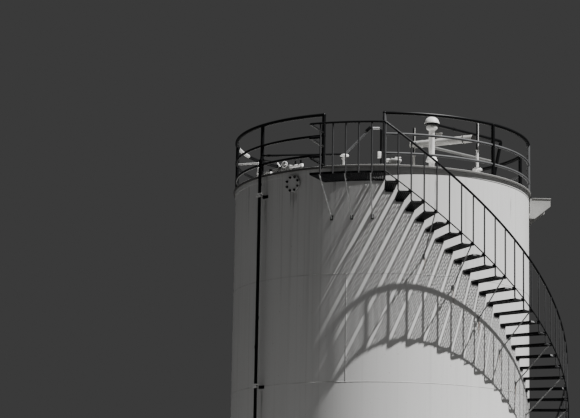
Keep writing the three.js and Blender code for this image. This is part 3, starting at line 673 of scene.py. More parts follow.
def shell():
    """Five courses of two rolled plates each, with their weld beads."""
    beads = bmesh.new()
    trim = math.degrees(PLATE_GAP / SHELL_R)
    for course, shift in enumerate(WELD_SHIFTS):
        z0 = SHELL_FOOT if course == 0 else course * COURSE + PLATE_GAP / 2
        z1 = SHELL_TOP - SEAT_GAP if course == COURSES - 1 else (course + 1) * COURSE - PLATE_GAP / 2
        for side, half in enumerate("ab"):
            bearing = WELD_BEARING + shift * SHIFT_DEG + side * 180
            bm = bmesh.new()
            section = [(SHELL_R - WALL, z0), (SHELL_R, z0), (SHELL_R, z1), (SHELL_R - WALL, z1)]
            turned(bm, section, bearing + trim / 2, 180 - trim, step=2)
            piece(f"shell_plate_{course + 1}{half}", bm, shell_paint, [f"shell_course_{course + 1}{half}"])
            weld_down(beads, bearing, max(z0, WELD_FOOT), min(z1, UNDER_CURB))
        if course:
            weld_round(beads, SHELL_R, course * COURSE)
    fillet = [(SHELL_R, SHELL_FOOT), (SHELL_R + 0.009, SHELL_FOOT), (SHELL_R + 0.002, WELD_FOOT - 0.002),
              (SHELL_R, WELD_FOOT)]
    turned(beads, fillet)
    piece("shell_weld_beads", beads, shell_paint)


def curb_ring():
    inner, leg, top = SHELL_R + SEAT_GAP, SHELL_R + 0.008, SHELL_TOP - SEAT_GAP
    bm = bmesh.new()
    turned(bm, [(inner, CURB_LOW), (leg, CURB_LOW), (leg, CURB_SHELF - 0.004), (leg + 0.003, CURB_SHELF),
                (RIM_R - RIM_EASE, CURB_SHELF), (RIM_R, CURB_SHELF + RIM_EASE), (RIM_R, top - RIM_EASE),
                (RIM_R - RIM_EASE, top), (inner, top)], step=2)
    piece("curb_ring", bm, shell_paint, ["curb_angle"])


def cone_roof():
    """The cone plate on its rim bar, with the laps between its sheets and a cap at its peak."""
    peak, cap = roof_height(0), roof_height(ROOF_CAP_R)
    bm = bmesh.new()
    turned(bm, [(0, peak - ROOF_T), (RIM_IN, RIM_TOP - ROOF_T), (RIM_IN, SHELL_TOP),
                (RIM_R - RIM_EASE, SHELL_TOP), (RIM_R, SHELL_TOP + RIM_EASE), (RIM_R, RIM_TOP - RIM_EASE),
                (RIM_R - RIM_EASE, RIM_TOP), (RIM_IN + 0.006, RIM_TOP), (RIM_IN - 0.006, RIM_TOP + 0.003),
                (0, peak)], step=2)
    for n in range(ROOF_LAPS):
        place = on_roof(LAP_R, LAP_BEARING + n * 360 / ROOF_LAPS, 0.001)
        block(bm, (LAP_LENGTH, LAP_WIDTH, LAP_T), place, soften=0.002)
    for radius in ROOF_RINGS:
        z = roof_height(radius)
        turned(bm, [(radius - 0.02, z - 0.002), (radius + 0.02, z - 0.004), (radius + 0.018, z + 0.0028),
                    (radius, z + 0.0048), (radius - 0.018, z + 0.006)], step=3)
    turned(bm, [(0, peak - 0.002), (ROOF_CAP_R, cap - 0.002), (ROOF_CAP_R, cap + 0.005),
                (ROOF_CAP_R - 0.01, cap + 0.008), (0, peak + 0.007)], step=6)
    piece("cone_roof", bm, roof_paint, ["roof"])


def post(bm, bearing):
    """A guardrail post on its bolted foot plate, with a collar at each lower rail."""
    axis = at(SHELL_R, bearing, 0)[:2]
    r, plate_top = POST_D / 2, RIM_TOP + 0.008
    bar(bm, at(SHELL_R, bearing, RIM_TOP + SEAT_GAP), at(SHELL_R, bearing, TOP_RAIL_Z - 0.01), POST_D)
    block(bm, (0.062, 0.11, 0.008), station(POST_FOOT_R, bearing, RIM_TOP + 0.0043), soften=0.0015)
    foot = [(0.02, plate_top), (0.034, plate_top), (0.0265, plate_top + 0.01), (0.02, plate_top + 0.01)]
    turned(bm, foot, step=24, centre=axis)
    for side in (-POST_BOLT_ASIDE, POST_BOLT_ASIDE):
        spot = station(POST_FOOT_R, bearing, plate_top) @ Vector((0, side, 0))
        upright_bolt(bm, spot, 0.016, 0.01)
    for z in (MID_RAIL_Z, LOW_RAIL_Z):
        collar = [(r, z - 0.024), (r + 0.003, z - 0.022), (r + 0.003, z + 0.022), (r, z + 0.024)]
        turned(bm, collar, step=24, centre=axis)


def guard_bay(name, posts, lower_paint, shares_first=False):
    """One bay of guardrail: three rails between posts, the first perhaps shared with the bay before."""
    own = posts[1:] if shares_first else posts
    first, last = posts[0], posts[-1]
    trim = math.degrees(POST_D / 2 / SHELL_R) * math.copysign(1, last - first)
    start = first + trim if shares_first else first
    upper = bmesh.new()
    hoop(upper, SHELL_R, start, last, TOP_RAIL_Z, TOP_RAIL_Z, TOP_RAIL_D)
    for bearing in own:
        ball(upper, at(SHELL_R, bearing, TOP_RAIL_Z), TOP_RAIL_D * 0.53)
    lower = bmesh.new()
    for bearing in own:
        post(lower if bearing in PALE_POSTS else upper, bearing)
    for z in (MID_RAIL_Z, LOW_RAIL_Z):
        hoop(lower, SHELL_R, start, last, z, z, MID_RAIL_D)
    piece(name + "_top", upper, dark_paint, [name])
    piece(name + "_lower", lower, lower_paint)


def painted_highlight_rail():
    """The stretch of the far top rail drawn pale over its dark coat, as painted highlight where the sun
    catches it.
    """
    bm = bmesh.new()
    hoop(bm, SHELL_R, PAINTED_HIGHLIGHT_FROM, PAINTED_HIGHLIGHT_TO, TOP_RAIL_Z, TOP_RAIL_Z, TOP_RAIL_D + 0.002)
    piece("painted_highlight_rail", bm, pale_strut_and_highlight_paint)


def guardrails():
    guard_bay("guardrail_left", [GATE_POST, -52.3, -92.7], dark_paint)
    guard_bay("guardrail_rear_left", [-92.7, -133.2, -173.6], dark_paint, shares_first=True)
    guard_bay("guardrail_rear_right", [186.4, 145.9, 105.5], grey_rail, shares_first=True)
    guard_bay("guardrail_right", [84, 46.4, 0.8], grey_rail)
    # Painted highlight: a pale stretch of the far top rail
    painted_highlight_rail()


def zigzag_ties(bm, r0, r1, spread, edge, depth, place):
    """Strips that zigzag from bar to bar, and out to the two sides that spread."""
    full = int((r0 * spread - edge - CRIMP_CLEAR) / BAR_PITCH)

    def line_y(n, r):
        return n * BAR_PITCH if abs(n) <= full else math.copysign(r * spread - edge, n)

    for n in range(-full - 1, full + 1):
        for leg in range(int((r1 - r0) / CRIMP_LEG)):
            near = r0 + leg * CRIMP_LEG
            far = near + CRIMP_LEG
            from_bar, to_bar = (n, n + 1) if (leg + n) % 2 else (n + 1, n)
            a, b = line_y(from_bar, near), line_y(to_bar, far)
            middle = offset((near + far) / 2, (a + b) / 2, -depth / 2 - 0.001)
            slant = Matrix.Rotation(math.atan2(b - a, CRIMP_LEG), 4, "Z")
            block(bm, (math.hypot(CRIMP_LEG, b - a), CRIMP_T, depth), place @ middle @ slant)


def bar_grating(bm, r0, r1, half, edge, depth, crimp_depth, place):
    """Upright bars along the place's X, tied by zigzag strips, cut at sides that spread by an angle."""
    spread = math.tan(half)
    count = int((r1 * spread - edge) / BAR_PITCH)
    for n in range(-count, count + 1):
        y = n * BAR_PITCH
        start = max(r0, (abs(y) + edge) / spread)
        if r1 - start > SHORTEST_BAR:
            block(bm, (r1 - start, BAR_T, depth), place @ offset((start + r1) / 2, y, -depth / 2))
    zigzag_ties(bm, r0, r1, spread, edge, crimp_depth, place)


def tread_pattern():
    """One tread laid out along X at height 0: edge bars, end bracket, and grating between them."""
    bm = bmesh.new()
    half = math.radians(STEP_DEG / 2)
    length, middle = TREAD_R - TREAD_INNER, (TREAD_INNER + TREAD_R) / 2
    for side in (-1, 1):
        place = Matrix.Rotation(side * half, 4, "Z") @ offset(middle, -side * 0.003, -TREAD_T / 2)
        block(bm, (length, EDGE_BAR_T, TREAD_T), place, soften=0.001)
    width = 2 * TREAD_INNER * math.tan(half) - 0.004
    block(bm, (0.006, width, TREAD_T), offset(TREAD_INNER, 0, -TREAD_T / 2), soften=0.001)
    block(bm, (0.010, 0.15, 0.066), offset(TREAD_INNER + 0.002, 0, -0.036), soften=0.0015)
    bar_grating(bm, TREAD_INNER + 0.002, TREAD_R - 0.004, half, EDGE_BAR_T, TREAD_BAR_DEPTH,
                TREAD_CRIMP_DEPTH, offset(0, 0, -0.001))
    mesh = bpy.data.meshes.new("tread_pattern")
    bm.to_mesh(mesh)
    bm.free()
    return mesh


def lay(bm, mesh, place):
    """Adds a copy of a pattern at a place, before any piece whose edges are eased."""
    before = len(bm.verts)
    bm.from_mesh(mesh)
    bm.verts.ensure_lookup_table()
    bmesh.ops.transform(bm, matrix=place, verts=bm.verts[before:])


def tread_rim(bm, k):
    """The plate that closes the outer end of a tread."""
    middle = (nosing(k - 1) + nosing(k)) / 2
    width = 2 * TREAD_R * math.tan(math.radians(STEP_DEG / 2)) - 0.006
    block(bm, (0.006, width, 0.03), station(TREAD_R - 0.004, middle, tread_top(k) - 0.0155), soften=0.001)


def brace(rods, pads, k, top):
    """A raking rod from under the string to a pad on the shell, flattened at its foot."""
    bearing = nosing(k) - BRACE_OFF_DEG
    foot = top - BRACE_DROP
    head, toe = at(TREAD_R - 0.012, bearing, top), at(SHELL_R + 0.02, bearing, foot + 0.012)
    bar(rods, head, toe, BRACE_D, sides=12)
    block(rods, (0.012, 0.03, 0.05), station(SHELL_R + 0.014, bearing, foot + 0.004), soften=0.003)
    block(pads, (0.008, 0.054, 0.09), station(SHELL_R + 0.0045, bearing, foot), soften=0.0015)


def baluster(bm, k):
    """A rod from the handrail past the string that turns in under the outer edge of the next tread."""
    bearing = nosing(k)
    top = at(BALUSTER_R, bearing, tread_top(k) + HANDRAIL_H - 0.01)
    if is_braced(k):
        bar(bm, top, at(BALUSTER_R, bearing, max(tread_top(k) - TREAD_T, 0)), BALUSTER_D, sides=12)
        return
    foot = tread_top(k + 1) - 0.016
    if foot < 0.02:
        bar(bm, top, at(BALUSTER_R, bearing, 0.0), BALUSTER_D, sides=12)
        block(bm, (0.035, 0.07, 0.008), station(BALUSTER_R, bearing, 0.004), soften=0.001)
        return
    corner = at(BALUSTER_R, bearing, foot)
    tip = at(BALUSTER_R, nosing(k + 1) - 0.05, foot)
    pipe_run(bm, [top, corner, tip], BALUSTER_D, bend=0.045, sides=12, corner_steps=5)


def string_foot(bm, k):
    """The post and base plate under the lower end of the string."""
    foot, top = at(STRING_R, nosing(k), 0), at(STRING_R, nosing(k), tread_top(k) - STRING_SINK)
    bar(bm, foot, top, STRING_D)
    block(bm, (0.09, 0.09, 0.01), station(STRING_R - 0.02, nosing(k), 0.005), soften=0.002)


def stair_treads(number, tread, first, end, is_last):
    """The treads of one flight, from one nosing to another, with their string and braces."""
    bm, rods, rims = bmesh.new(), bmesh.new(), bmesh.new()
    for k in range(first + 1, end + 1):
        middle = math.radians((nosing(k - 1) + nosing(k)) / 2 - 90)
        lay(bm, tread, offset(0, 0, tread_top(k)) @ Matrix.Rotation(middle, 4, "Z"))
    for k in range(first + 1, end + 1):
        z = tread_top(k)
        tread_rim(rims, k)
        lug = station(STRING_R - 0.026, nosing(k) - LUG_OFF_DEG, z - 0.006)
        block(bm, (0.052, 0.024, 0.056), lug, soften=0.002)
        if is_braced(k) and z > BRACE_DROP + LOWEST_PAD:
            brace(rods, rods, k, z - TREAD_T / 2)
    hoop(bm, STRING_R, nosing(first) + STRING_START_DEG, nosing(end) + STRING_END_DEG,
         tread_top(first) - STRING_SINK, tread_top(end) - STRING_SINK, STRING_D, step=1.3, sides=12)
    if is_last:
        string_foot(bm, end)
    piece(f"stair_treads_{number}", bm, dark_paint, [f"stair_flight_{number}"])
    # End plates in the paler paint, as painted highlight on the tread ends
    piece(f"stair_tread_rims_{number}", rims, tread_rim_highlight_paint)
    if rods.verts:
        piece(f"stair_braces_{number}", rods, rod_grey)
    else:
        rods.free()


def stair_railing(number, first, last):
    bm = bmesh.new()
    hoop(bm, BALUSTER_R, nosing(first) + RAIL_LAP, nosing(last) + RAIL_LAP, rail_lap_z(first),
         rail_lap_z(last), HANDRAIL_D, step=1.3)
    piece(f"stair_handrail_{number}", bm, dark_paint, [f"stair_rail_{number}"])
    bm = bmesh.new()
    for k in range(first + 1, last + 1):
        baluster(bm, k)
    piece(f"stair_balusters_{number}", bm, baluster_paint)


def stair():
    tread = tread_pattern()
    for flight in range(FLIGHTS):
        first = flight * FLIGHT_STEPS
        last = first + FLIGHT_STEPS
        stair_treads(flight + 1, tread, first, min(last, RISERS - 1), last == RISERS)
        stair_railing(flight + 1, first, last)


def landing_frame():
    """Two curved edge bars, two end bars, three cross bars and the struts under them."""
    low = LANDING_Z - LANDING_EDGE
    reach = TREAD_R - SHELL_R - 0.002
    middle = SHELL_R + 0.001 + reach / 2
    bm, rods = bmesh.new(), bmesh.new()
    for r in (TREAD_R - LANDING_BAR, SHELL_R + LANDING_GAP):
        turned(bm, [(r, low), (r + LANDING_BAR, low), (r + LANDING_BAR, LANDING_Z), (r, LANDING_Z)],
               LANDING_END, STAIR_BEARING - LANDING_END, step=1.5)
    for bearing, aside in ((LANDING_END, LANDING_BAR / 2), (STAIR_BEARING, -LANDING_BAR / 2)):
        place = station(middle, bearing, LANDING_Z - LANDING_EDGE / 2) @ offset(0, aside, 0)
        block(bm, (reach, LANDING_BAR, LANDING_EDGE), place, soften=0.001)
    for k in STRUT_STEPS:
        place = station(middle, nosing(k) - BRACE_OFF_DEG, LANDING_Z - 0.033)
        block(bm, (reach - 0.02, 0.02, 0.014), place, soften=0.001)
        brace(rods, bm, k, low + LANDING_BAR / 2)
    piece("landing_bars", bm, dark_paint, ["landing_frame"])
    piece("landing_struts", rods, pale_strut_and_highlight_paint)


def landing_floor():
    """Panels of bar grating between the frame's edge bars."""
    sweep = STAIR_BEARING - LANDING_END
    half = math.radians(sweep / LANDING_PANELS / 2)
    r0, r1, depth = SHELL_R + LANDING_GAP + LANDING_BAR, TREAD_R - LANDING_BAR, LANDING_BAR_DEPTH
    bm = bmesh.new()
    for n in range(LANDING_PANELS):
        bearing = LANDING_END + sweep * (n + 0.5) / LANDING_PANELS
        place = Matrix.Rotation(math.radians(bearing - 90), 4, "Z") @ offset(0, 0, LANDING_Z - 0.001)
        bar_grating(bm, r0, r1, half, 0.003, depth, LANDING_CRIMP_DEPTH, place)
        for side in (-1, 1):
            turn = Matrix.Rotation(side * half, 4, "Z")
            middle = turn @ offset(PANEL_EDGE_R, -side * 0.004, -depth / 2)
            block(bm, (PANEL_EDGE_LENGTH, EDGE_BAR_T, depth), place @ middle)
    piece("landing_bar_grating", bm, dark_paint, ["landing_grating"])


def landing_guard():
    """The landing's handrail and two lower rails, turned in to the gate post."""
    start, end = LANDING_END + 1.1, STAIR_BEARING - 0.3
    meet, top = SHELL_R + POST_D / 2, LANDING_Z + HANDRAIL_H
    bm = bmesh.new()
    hoop(bm, BALUSTER_R, start, end, top, top, HANDRAIL_D)
    downhill = [at(BALUSTER_R, end, top), at(BALUSTER_R, STAIR_BEARING, top),
                at(BALUSTER_R, STAIR_BEARING + RAIL_LAP, rail_lap_z(0))]
    pipe_run(bm, downhill, HANDRAIL_D, bend=0.04, corner_steps=4)
    for h, d in ((HANDRAIL_H, HANDRAIL_D), *((h, MID_RAIL_D) for h in LANDING_RAILS)):
        z = LANDING_Z + h
        pipe_run(bm, [at(BALUSTER_R, start, z), at(BALUSTER_R, LANDING_END, z), at(meet, GATE_POST, z)], d)
        if h < HANDRAIL_H:
            hoop(bm, BALUSTER_R, start, nosing(-LANDING_STEPS), z, z, d)
    piece("landing_guard", bm, dark_paint, ["landing_rail"])


def landing_balusters():
    low, top = LANDING_Z - LANDING_EDGE, LANDING_Z + HANDRAIL_H
    bm = bmesh.new()
    for k in range(-LANDING_STEPS, 0):
        bar(bm, at(BALUSTER_R, nosing(k), low), at(BALUSTER_R, nosing(k), top), BALUSTER_D, sides=12)
    baluster(bm, 0)
    piece("landing_balusters", bm, baluster_paint)


def bridge_seat():
    """A bolted shelf on two gussets, over a pad bar on the shell."""
    place = station(0, SEAT_BEARING, 0)
    root, leg = SHELL_R + 0.001, SHELL_R + 0.0085
    outline = [(root, SEAT_LOW), (SEAT_TOE_R, SEAT_LOW), (SEAT_REACH, SEAT_LIP), (SEAT_REACH, SEAT_TOP),
               (leg, SEAT_TOP), (leg, UNDER_CURB), (root, UNDER_CURB)]
    bm, bolts = bmesh.new(), bmesh.new()
    for side in (-GUSSET_ASIDE, GUSSET_ASIDE):
        plate(bm, outline, SEAT_T, place @ offset(0, side, 0))
    block(bm, (0.368, 0.78, SEAT_T), place @ offset(3.136, 0, SEAT_TOP + SEAT_T / 2), soften=0.002)
    block(bm, (SEAT_T, 0.74, 0.08), place @ offset(SEAT_REACH - SEAT_T / 2, 0, 9.915), soften=0.002)
    block(bm, (0.01, 0.9, 0.09), place @ offset(SHELL_R - 0.014, 0, SEAT_LOW + 0.04), soften=0.002)
    for side in SEAT_BOLTS:
        upright_bolt(bolts, place @ Vector((3.24, side, SEAT_TOP + SEAT_T)), 0.024, 0.012)
    piece("bridge_bracket", bm, pipe_grey, ["bridge_seat"])
    piece("bridge_bracket_bolts", bolts, rusty_bolts)


def riser_run(left, right, line):
    """The right pipe goes up and over the roof to a post; the left one turns down to the roof."""
    back, rise_z = CONDUIT_Z - 0.06, CONDUIT_Z + 0.045
    drop_foot, return_foot = roof_height(CONDUIT_DROP_R), roof_height(RETURN_R)
    bm = bmesh.new()
    pipe_run(bm, [at(RISER_R, right, 0), at(RISER_R, right, CONDUIT_Z), (CONDUIT_RISE_X, line, rise_z),
                  (-0.24, line, CONDUIT_HIGH_Z), (CONDUIT_DROP_X, line, CONDUIT_HIGH_Z + 0.015),
                  (CONDUIT_DROP_X, line, drop_foot - 0.005)], RISER_D)
    pipe_run(bm, [at(RISER_R, left, 0), at(RISER_R, left, back), at(RETURN_R, left, back),
                  at(RETURN_R, left, return_foot - 0.003)], RISER_D)
    for bearing, heights in ((right, RIGHT_UNIONS), (left, LEFT_UNIONS)):
        for z in heights:
            disc(bm, at(RISER_R, bearing, 0)[:2], z, z + 0.055, 0.048, 16, 0.004)
    bar(bm, (-2.2, line, CONDUIT_Z + 0.003), (-0.73, line, CONDUIT_Z + 0.043), SLEEVE_D)
    roof_flange(bm, (CONDUIT_DROP_X, line), drop_foot, 0.11)
    roof_flange(bm, at(RETURN_R, left, 0)[:2], return_foot, 0.1)
    bar(bm, (CONDUIT_DROP_X, line, 10.49), (CONDUIT_DROP_X, line, 10.9), SLEEVE_D)
    elbow = offset(-0.262, line, CONDUIT_HIGH_Z - 0.012) @ Matrix.Rotation(-0.75, 4, "Y")
    block(bm, (0.13, 0.06, 0.062), elbow, soften=0.008)
    piece("riser_pipes_run", bm, dark_paint, ["riser_pipes"])


def riser_clamp(clamps, arms, z):
    """Two clamp bars and a U-bolt round the pair of pipes, on an arm from a pad on the shell."""
    # The arm and its pad on the shell go in dark paint: painted shade where the clamp meets the shell
    block(arms, (0.14, 0.03, 0.05), station(SHELL_R + 0.072, RISER_BEARING, z), soften=0.002)
    block(clamps, (0.012, 0.11, 0.055), station(RISER_R - 0.023, RISER_BEARING, z), soften=0.002)
    block(clamps, (0.010, 0.11, 0.055), station(RISER_R + 0.022, RISER_BEARING, z), soften=0.002)
    block(arms, (0.008, 0.16, 0.06), station(SHELL_R + 0.0045, RISER_BEARING, z), soften=0.0015)
    place = station(RISER_R, RISER_BEARING, z + 0.04)
    back, front, aside = -0.04, 0.036, 0.058
    corners = [(back, aside, 0), (front, aside, 0), (front, -aside, 0), (back, -aside, 0)]
    pipe_run(clamps, [place @ Vector(corner) for corner in corners], 0.022, bend=0.025, sides=12)
    for side in (-0.049, 0.049):
        bolt(clamps, station(RISER_R + 0.026, RISER_BEARING, z) @ offset(0, side, 0), 0.02, 0.012)


def riser_clamps():
    clamps, arms = bmesh.new(), bmesh.new()
    for z in CLAMP_HEIGHTS:
        riser_clamp(clamps, arms, z)
    piece("riser_clamps", clamps, white_paint)
    # Arms and pads in dark paint, as painted shade
    piece("riser_clamp_arms", arms, dark_paint)


def conduit_fittings(line):
    """A junction box on the post, and a sleeve on the level and the rising stretch of the conduit."""
    bm = bmesh.new()
    box = Vector((CONDUIT_DROP_X - 0.031, line - 0.04, 10.42))
    block(bm, (0.064, 0.06, 0.118), Matrix.Translation(box), soften=0.003)
    block(bm, (0.052, 0.006, 0.106), Matrix.Translation(box - Vector((0, 0.0305, 0))), soften=0.002)
    piece("junction_box", bm, white_paint)
    bm = bmesh.new()
    level = CONDUIT_HIGH_Z + 0.012
    bar(bm, (-0.215, line, level), (CONDUIT_DROP_X - 0.03, line, level), 0.048)
    piece("conduit_sleeve", bm, galvanised)
    bm = bmesh.new()
    bar(bm, (CONDUIT_RISE_X, line, CONDUIT_Z + 0.045), (-0.29, line, CONDUIT_HIGH_Z - 0.058), SLEEVE_D)
    piece("conduit_rise", bm, grey_rail)


def riser_pipes():
    half = math.degrees(RISER_ASIDE / RISER_R)
    left, right = RISER_BEARING - half, RISER_BEARING + half
    line = at(RISER_R, right, 0).y
    riser_run(left, right, line)
    riser_clamps()
    conduit_fittings(line)


def nozzle(name, bearing, z, neck, flange, reach, thick, bolts, node, studding):
    """A flanged nozzle closed by a bolted cover, with a round pad on the shell."""
    bm, studs = bmesh.new(), bmesh.new()
    here = station(SHELL_R, bearing, z) @ Matrix.Rotation(math.pi / 2, 4, "Y")
    sink = (neck * 0.75) ** 2 / SHELL_R / 2 + 0.004
    rim, face = flange / 2, reach + thick
    pad = (neck * 0.74, neck * 0.72, -sink, 0.011)
    tube = (neck / 2, neck / 2, -0.005, reach)
    ring = (rim, rim, reach - thick, reach - 0.002)
    groove = (rim - 0.008, rim - 0.008, reach - 0.003, reach + 0.001)
    cover = (rim - 0.002, rim - 0.002, reach, face - 0.003)
    cover_edge = (rim - 0.002, rim - 0.006, face - 0.003, face)
    for sizes in (pad, tube, ring, groove, cover, cover_edge):
        drum(bm, here, *sizes)
    drum(studs, here, rim + 0.0035, rim + 0.0035, reach - 0.0035, reach + 0.0025)
    open_back = reach - thick > 0.02
    circle = (neck / 2 + rim) / 2 + (0.004 if open_back else 0.011)
    size = min(0.03, (flange - neck) * 0.19) if open_back else 0.036
    for n in range(bolts):
        a = 2 * math.pi * (n + 0.5) / bolts
        aside = offset(0, circle * math.cos(a), circle * math.sin(a))
        bolt(studs, station(SHELL_R + face, bearing, z) @ aside, size, size * 0.8)
        if open_back:
            back = station(SHELL_R + reach - thick, bearing, z) @ aside @ Matrix.Rotation(math.pi, 4, "Z")
            bolt(studs, back, size, size * 0.8, washer=False)
    piece(name, bm, shell_paint, [node])
    piece(name + "_bolts", studs, studding)


def shell_nozzles():
    nozzle("top_nozzle", -34.8, 9.763, 0.168, 0.32, 0.024, 0.018, 8, "shell_nozzle", black_bolts)
    nozzle("bottom_outlet", -75, 0.35, 0.168, 0.285, 0.18, 0.022, 8, "outlet_nozzle", rusty_bolts)
    nozzle("manway", -110, 0.8, 0.61, 0.79, 0.176, 0.024, 20, "shell_manway", rusty_bolts)


def stack_dome():
    """Section of the stack's cap: a flat brim under a dome."""
    section = [(0.0, 11.216), (0.136, 11.204), (0.1455, 11.208), (0.1455, 11.222), (0.139, 11.236)]
    steps = 7
    for n in range(1, steps + 1):
        a = math.radians(8 + n * 82 / steps)
        section.append((0.139 * math.cos(a) if n < steps else 0.0, 11.225 + 0.119 * math.sin(a)))
    return section


def stack_body():
    base = roof_height(math.hypot(*STACK))
    neck = [(0, base - 0.03), (0.057, base - 0.03), (0.057, 11.06), (0.066, 11.075), (0.098, 11.092),
            (0.108, 11.112), (0.108, 11.15), (0.1, 11.166), (0.08, 11.172), (0, 11.172)]
    collar = [(0.056, 10.462), (0.114, 10.458), (0.115, 10.466), (0.104, 10.5), (0.09, 10.54),
              (0.078, 10.562), (0.062, 10.572), (0.056, 10.572)]
    foot = [(0.05, base - 0.01), (0.11, base - 0.02), (0.11, base + 0.012), (0.06, base + 0.02)]
    bm = bmesh.new()
    for section in (neck, collar, foot):
        turned(bm, section, step=12, centre=STACK)
    turned(bm, stack_dome(), step=9, centre=STACK)
    piece("stack", bm, white_paint, ["vent_stack"])


def stack_screen_and_painted_shade():
    """A dark ring that fills the gap under the cap as painted shade, with the crossed wires of a screen
    inside.
    """
    low, high, radius, wires = lift(11.165), lift(11.212), 0.094, 24
    axis = Vector((*STACK, 0))
    bm = bmesh.new()
    for n in range(wires):
        a = 2 * math.pi * n / wires
        here = axis + Vector((radius * math.cos(a), radius * math.sin(a), 0))
        there = axis + Vector((radius * math.cos(a + 0.35), radius * math.sin(a + 0.35), 0))
        bar(bm, here + low, there + high, 0.004, 6)
        bar(bm, there + low, here + high, 0.004, 6)
    # Solid dark disc filling the gap under the cap: painted shade of the hollow behind the screen
    turned(bm, [(0.0, 11.168), (0.1, 11.168), (0.134, 11.176), (0.138, 11.182), (0.138, 11.209),
                (0.0, 11.213)], step=12, centre=STACK)
    piece("stack_screen_and_painted_shade", bm, dark_paint)


def stack_line():
    """The level pipe from the stack, which turns down to a foot on the roof."""
    start, end = Vector((STACK[0] + 0.06, STACK[1], STACK_LINE_Z)), Vector((*STACK_LINE_END, STACK_LINE_Z))
    foot = (2.16, 0.06, roof_height(2.161) - 0.004)
    along = (end - start).normalized()
    bm = bmesh.new()
    pipe_run(bm, [start, end, foot], STACK_LINE_D, 0.045)
    roof_flange(bm, foot[:2], foot[2], 0.12, rise=0.014)
    for reach in STACK_LINE_UNIONS:
        spot = start + along * reach
        bar(bm, spot - along * 0.03, spot + along * 0.03, 0.078)
    piece("stack_line", bm, dark_paint)


def vent_stack():
    stack_body()
    stack_screen_and_painted_shade()
    stack_line()


def breather():
    """A wide level pipe on a pole, with a bolted joint near its end, and a thin pipe beside it."""
    left, right = Vector((*BREATHER_LEFT, BREATHER_Z)), Vector((*BREATHER_RIGHT, BREATHER_Z))
    along = (right - left).normalized()
    breather_pole_rod()
    breather_thin_pipe()
    breather_body(left, right, along)
    breather_joint(right, along)


def breather_pole_rod():
    x, y = BREATHER_POLE
    bm = bmesh.new()
    bar(bm, (x - 0.01, y, 10.65), (x - 0.01, y, 11.222), 0.024)
    piece("breather_dark_rod", bm, dark_paint)


def breather_thin_pipe():
    x, y = BREATHER_FAR
    floor = roof_height(math.hypot(x, y))
    bm = bmesh.new()
    route = [(0.64, -1.005, BREATHER_Z), (x, y, BREATHER_Z), (x, y, floor - 0.005)]
    pipe_run(bm, route, 0.054, 0.07, sides=20)
    roof_flange(bm, BREATHER_FAR, floor, 0.14, sink=0.015, sides=24)
    piece("breather_thin_pipe", bm, thin_pipe_grey)


def breather_body(left, right, along):
    """The wide pipe with its end caps, joint rings, straps and saddle, the pole that carries it, and a
    pale rod beside the dark pole rod as painted highlight.
    """
    x, y = BREATHER_POLE
    base = roof_height(math.hypot(x, y))
    bm = bmesh.new()
    bar(bm, left + along * 0.012, right - along * 0.006, BREATHER_D, 32)
    bar(bm, left, left + along * 0.012, 0.128, 32, BREATHER_D)
    bar(bm, right - along * 0.03, right - along * 0.008, 0.158, 32)
    bar(bm, right + along * 0.007, right + along * 0.026, 0.158, 32)
    bar(bm, right + along * 0.02, right + along * 0.185, 0.146, 32)
    bar(bm, right + along * 0.185, right + along * 0.2, 0.146, 32, 0.12)
    for share in BREATHER_STRAPS:
        spot = left.lerp(right, share)
        bar(bm, spot - along * 0.02, spot + along * 0.02, 0.148, 32)
    bar(bm, (x, y, base - 0.005), (x, y, 10.66), 0.046)
    # Pale rod beside the dark pole rod: painted highlight on the pole's sunlit side
    bar(bm, (x + 0.013, y, 10.65), (x + 0.013, y, 11.222), 0.02)
    disc(bm, BREATHER_POLE, 10.645, 10.67, 0.06, 20, 0.004)
    roof_flange(bm, BREATHER_POLE, base, 0.13, sink=0.015, sides=24)
    saddle = left.lerp(right, 0.52) + Vector((0.015, 0, 0))
    block(bm, (0.11, 0.06, 0.1), Matrix.Translation(saddle + lift(0.12)), soften=0.006)
    block(bm, (0.13, 0.09, 0.01), Matrix.Translation(saddle + lift(0.175)), soften=0.002)
    piece("breather", bm, pipe_grey, ["breather_pipe"])


def breather_joint(right, along):
    """Black gaskets and bolts where the wide pipe's end piece is joined on."""
    bolts, circle = 8, 0.071
    level = along.cross(lift(1))
    bm = bmesh.new()
    bar(bm, right - along * 0.009, right + along * 0.008, 0.166, 32)
    bar(bm, right + along * 0.196, right + along * 0.204, 0.15, 32)
    for n in range(bolts):
        a = math.radians(360 / bolts * n + 10)
        aside = level * math.cos(a) * circle + lift(math.sin(a) * circle)
        bar(bm, right + aside - along * 0.04, right + aside + along * 0.032, 0.012, 8)
    piece("breather_joint", bm, black_bolts)


def small_vent():
    """A short pipe under a mushroom cap on three legs."""
    x, y = SMALL_VENT
    base = roof_height(math.hypot(x, y))
    pipe = [(0, base - 0.01), (0.06, base - 0.01), (0.06, base + 0.012), (0.034, base + 0.014),
            (0.034, 10.352), (0, 10.352)]
    cap = [(0, 10.372), (0.077, 10.370), (0.077, 10.362), (0.084, 10.362), (0.084, 10.374),
           (0.078, 10.384), (0.06, 10.393), (0.03, 10.399), (0, 10.401)]
    bm = bmesh.new()
    turned(bm, pipe, step=15, centre=SMALL_VENT)
    turned(bm, cap, step=15, centre=SMALL_VENT)
    for n in range(3):
        spot = at(0.045, 40 + 120 * n, 10.30) + Vector((x, y, 0))
        bar(bm, spot, spot + lift(0.066), 0.01, 8)
        bar(bm, Vector((x, y, 10.30)), spot, 0.01, 8)
    piece("mushroom_vent", bm, white_paint, ["small_vent"])


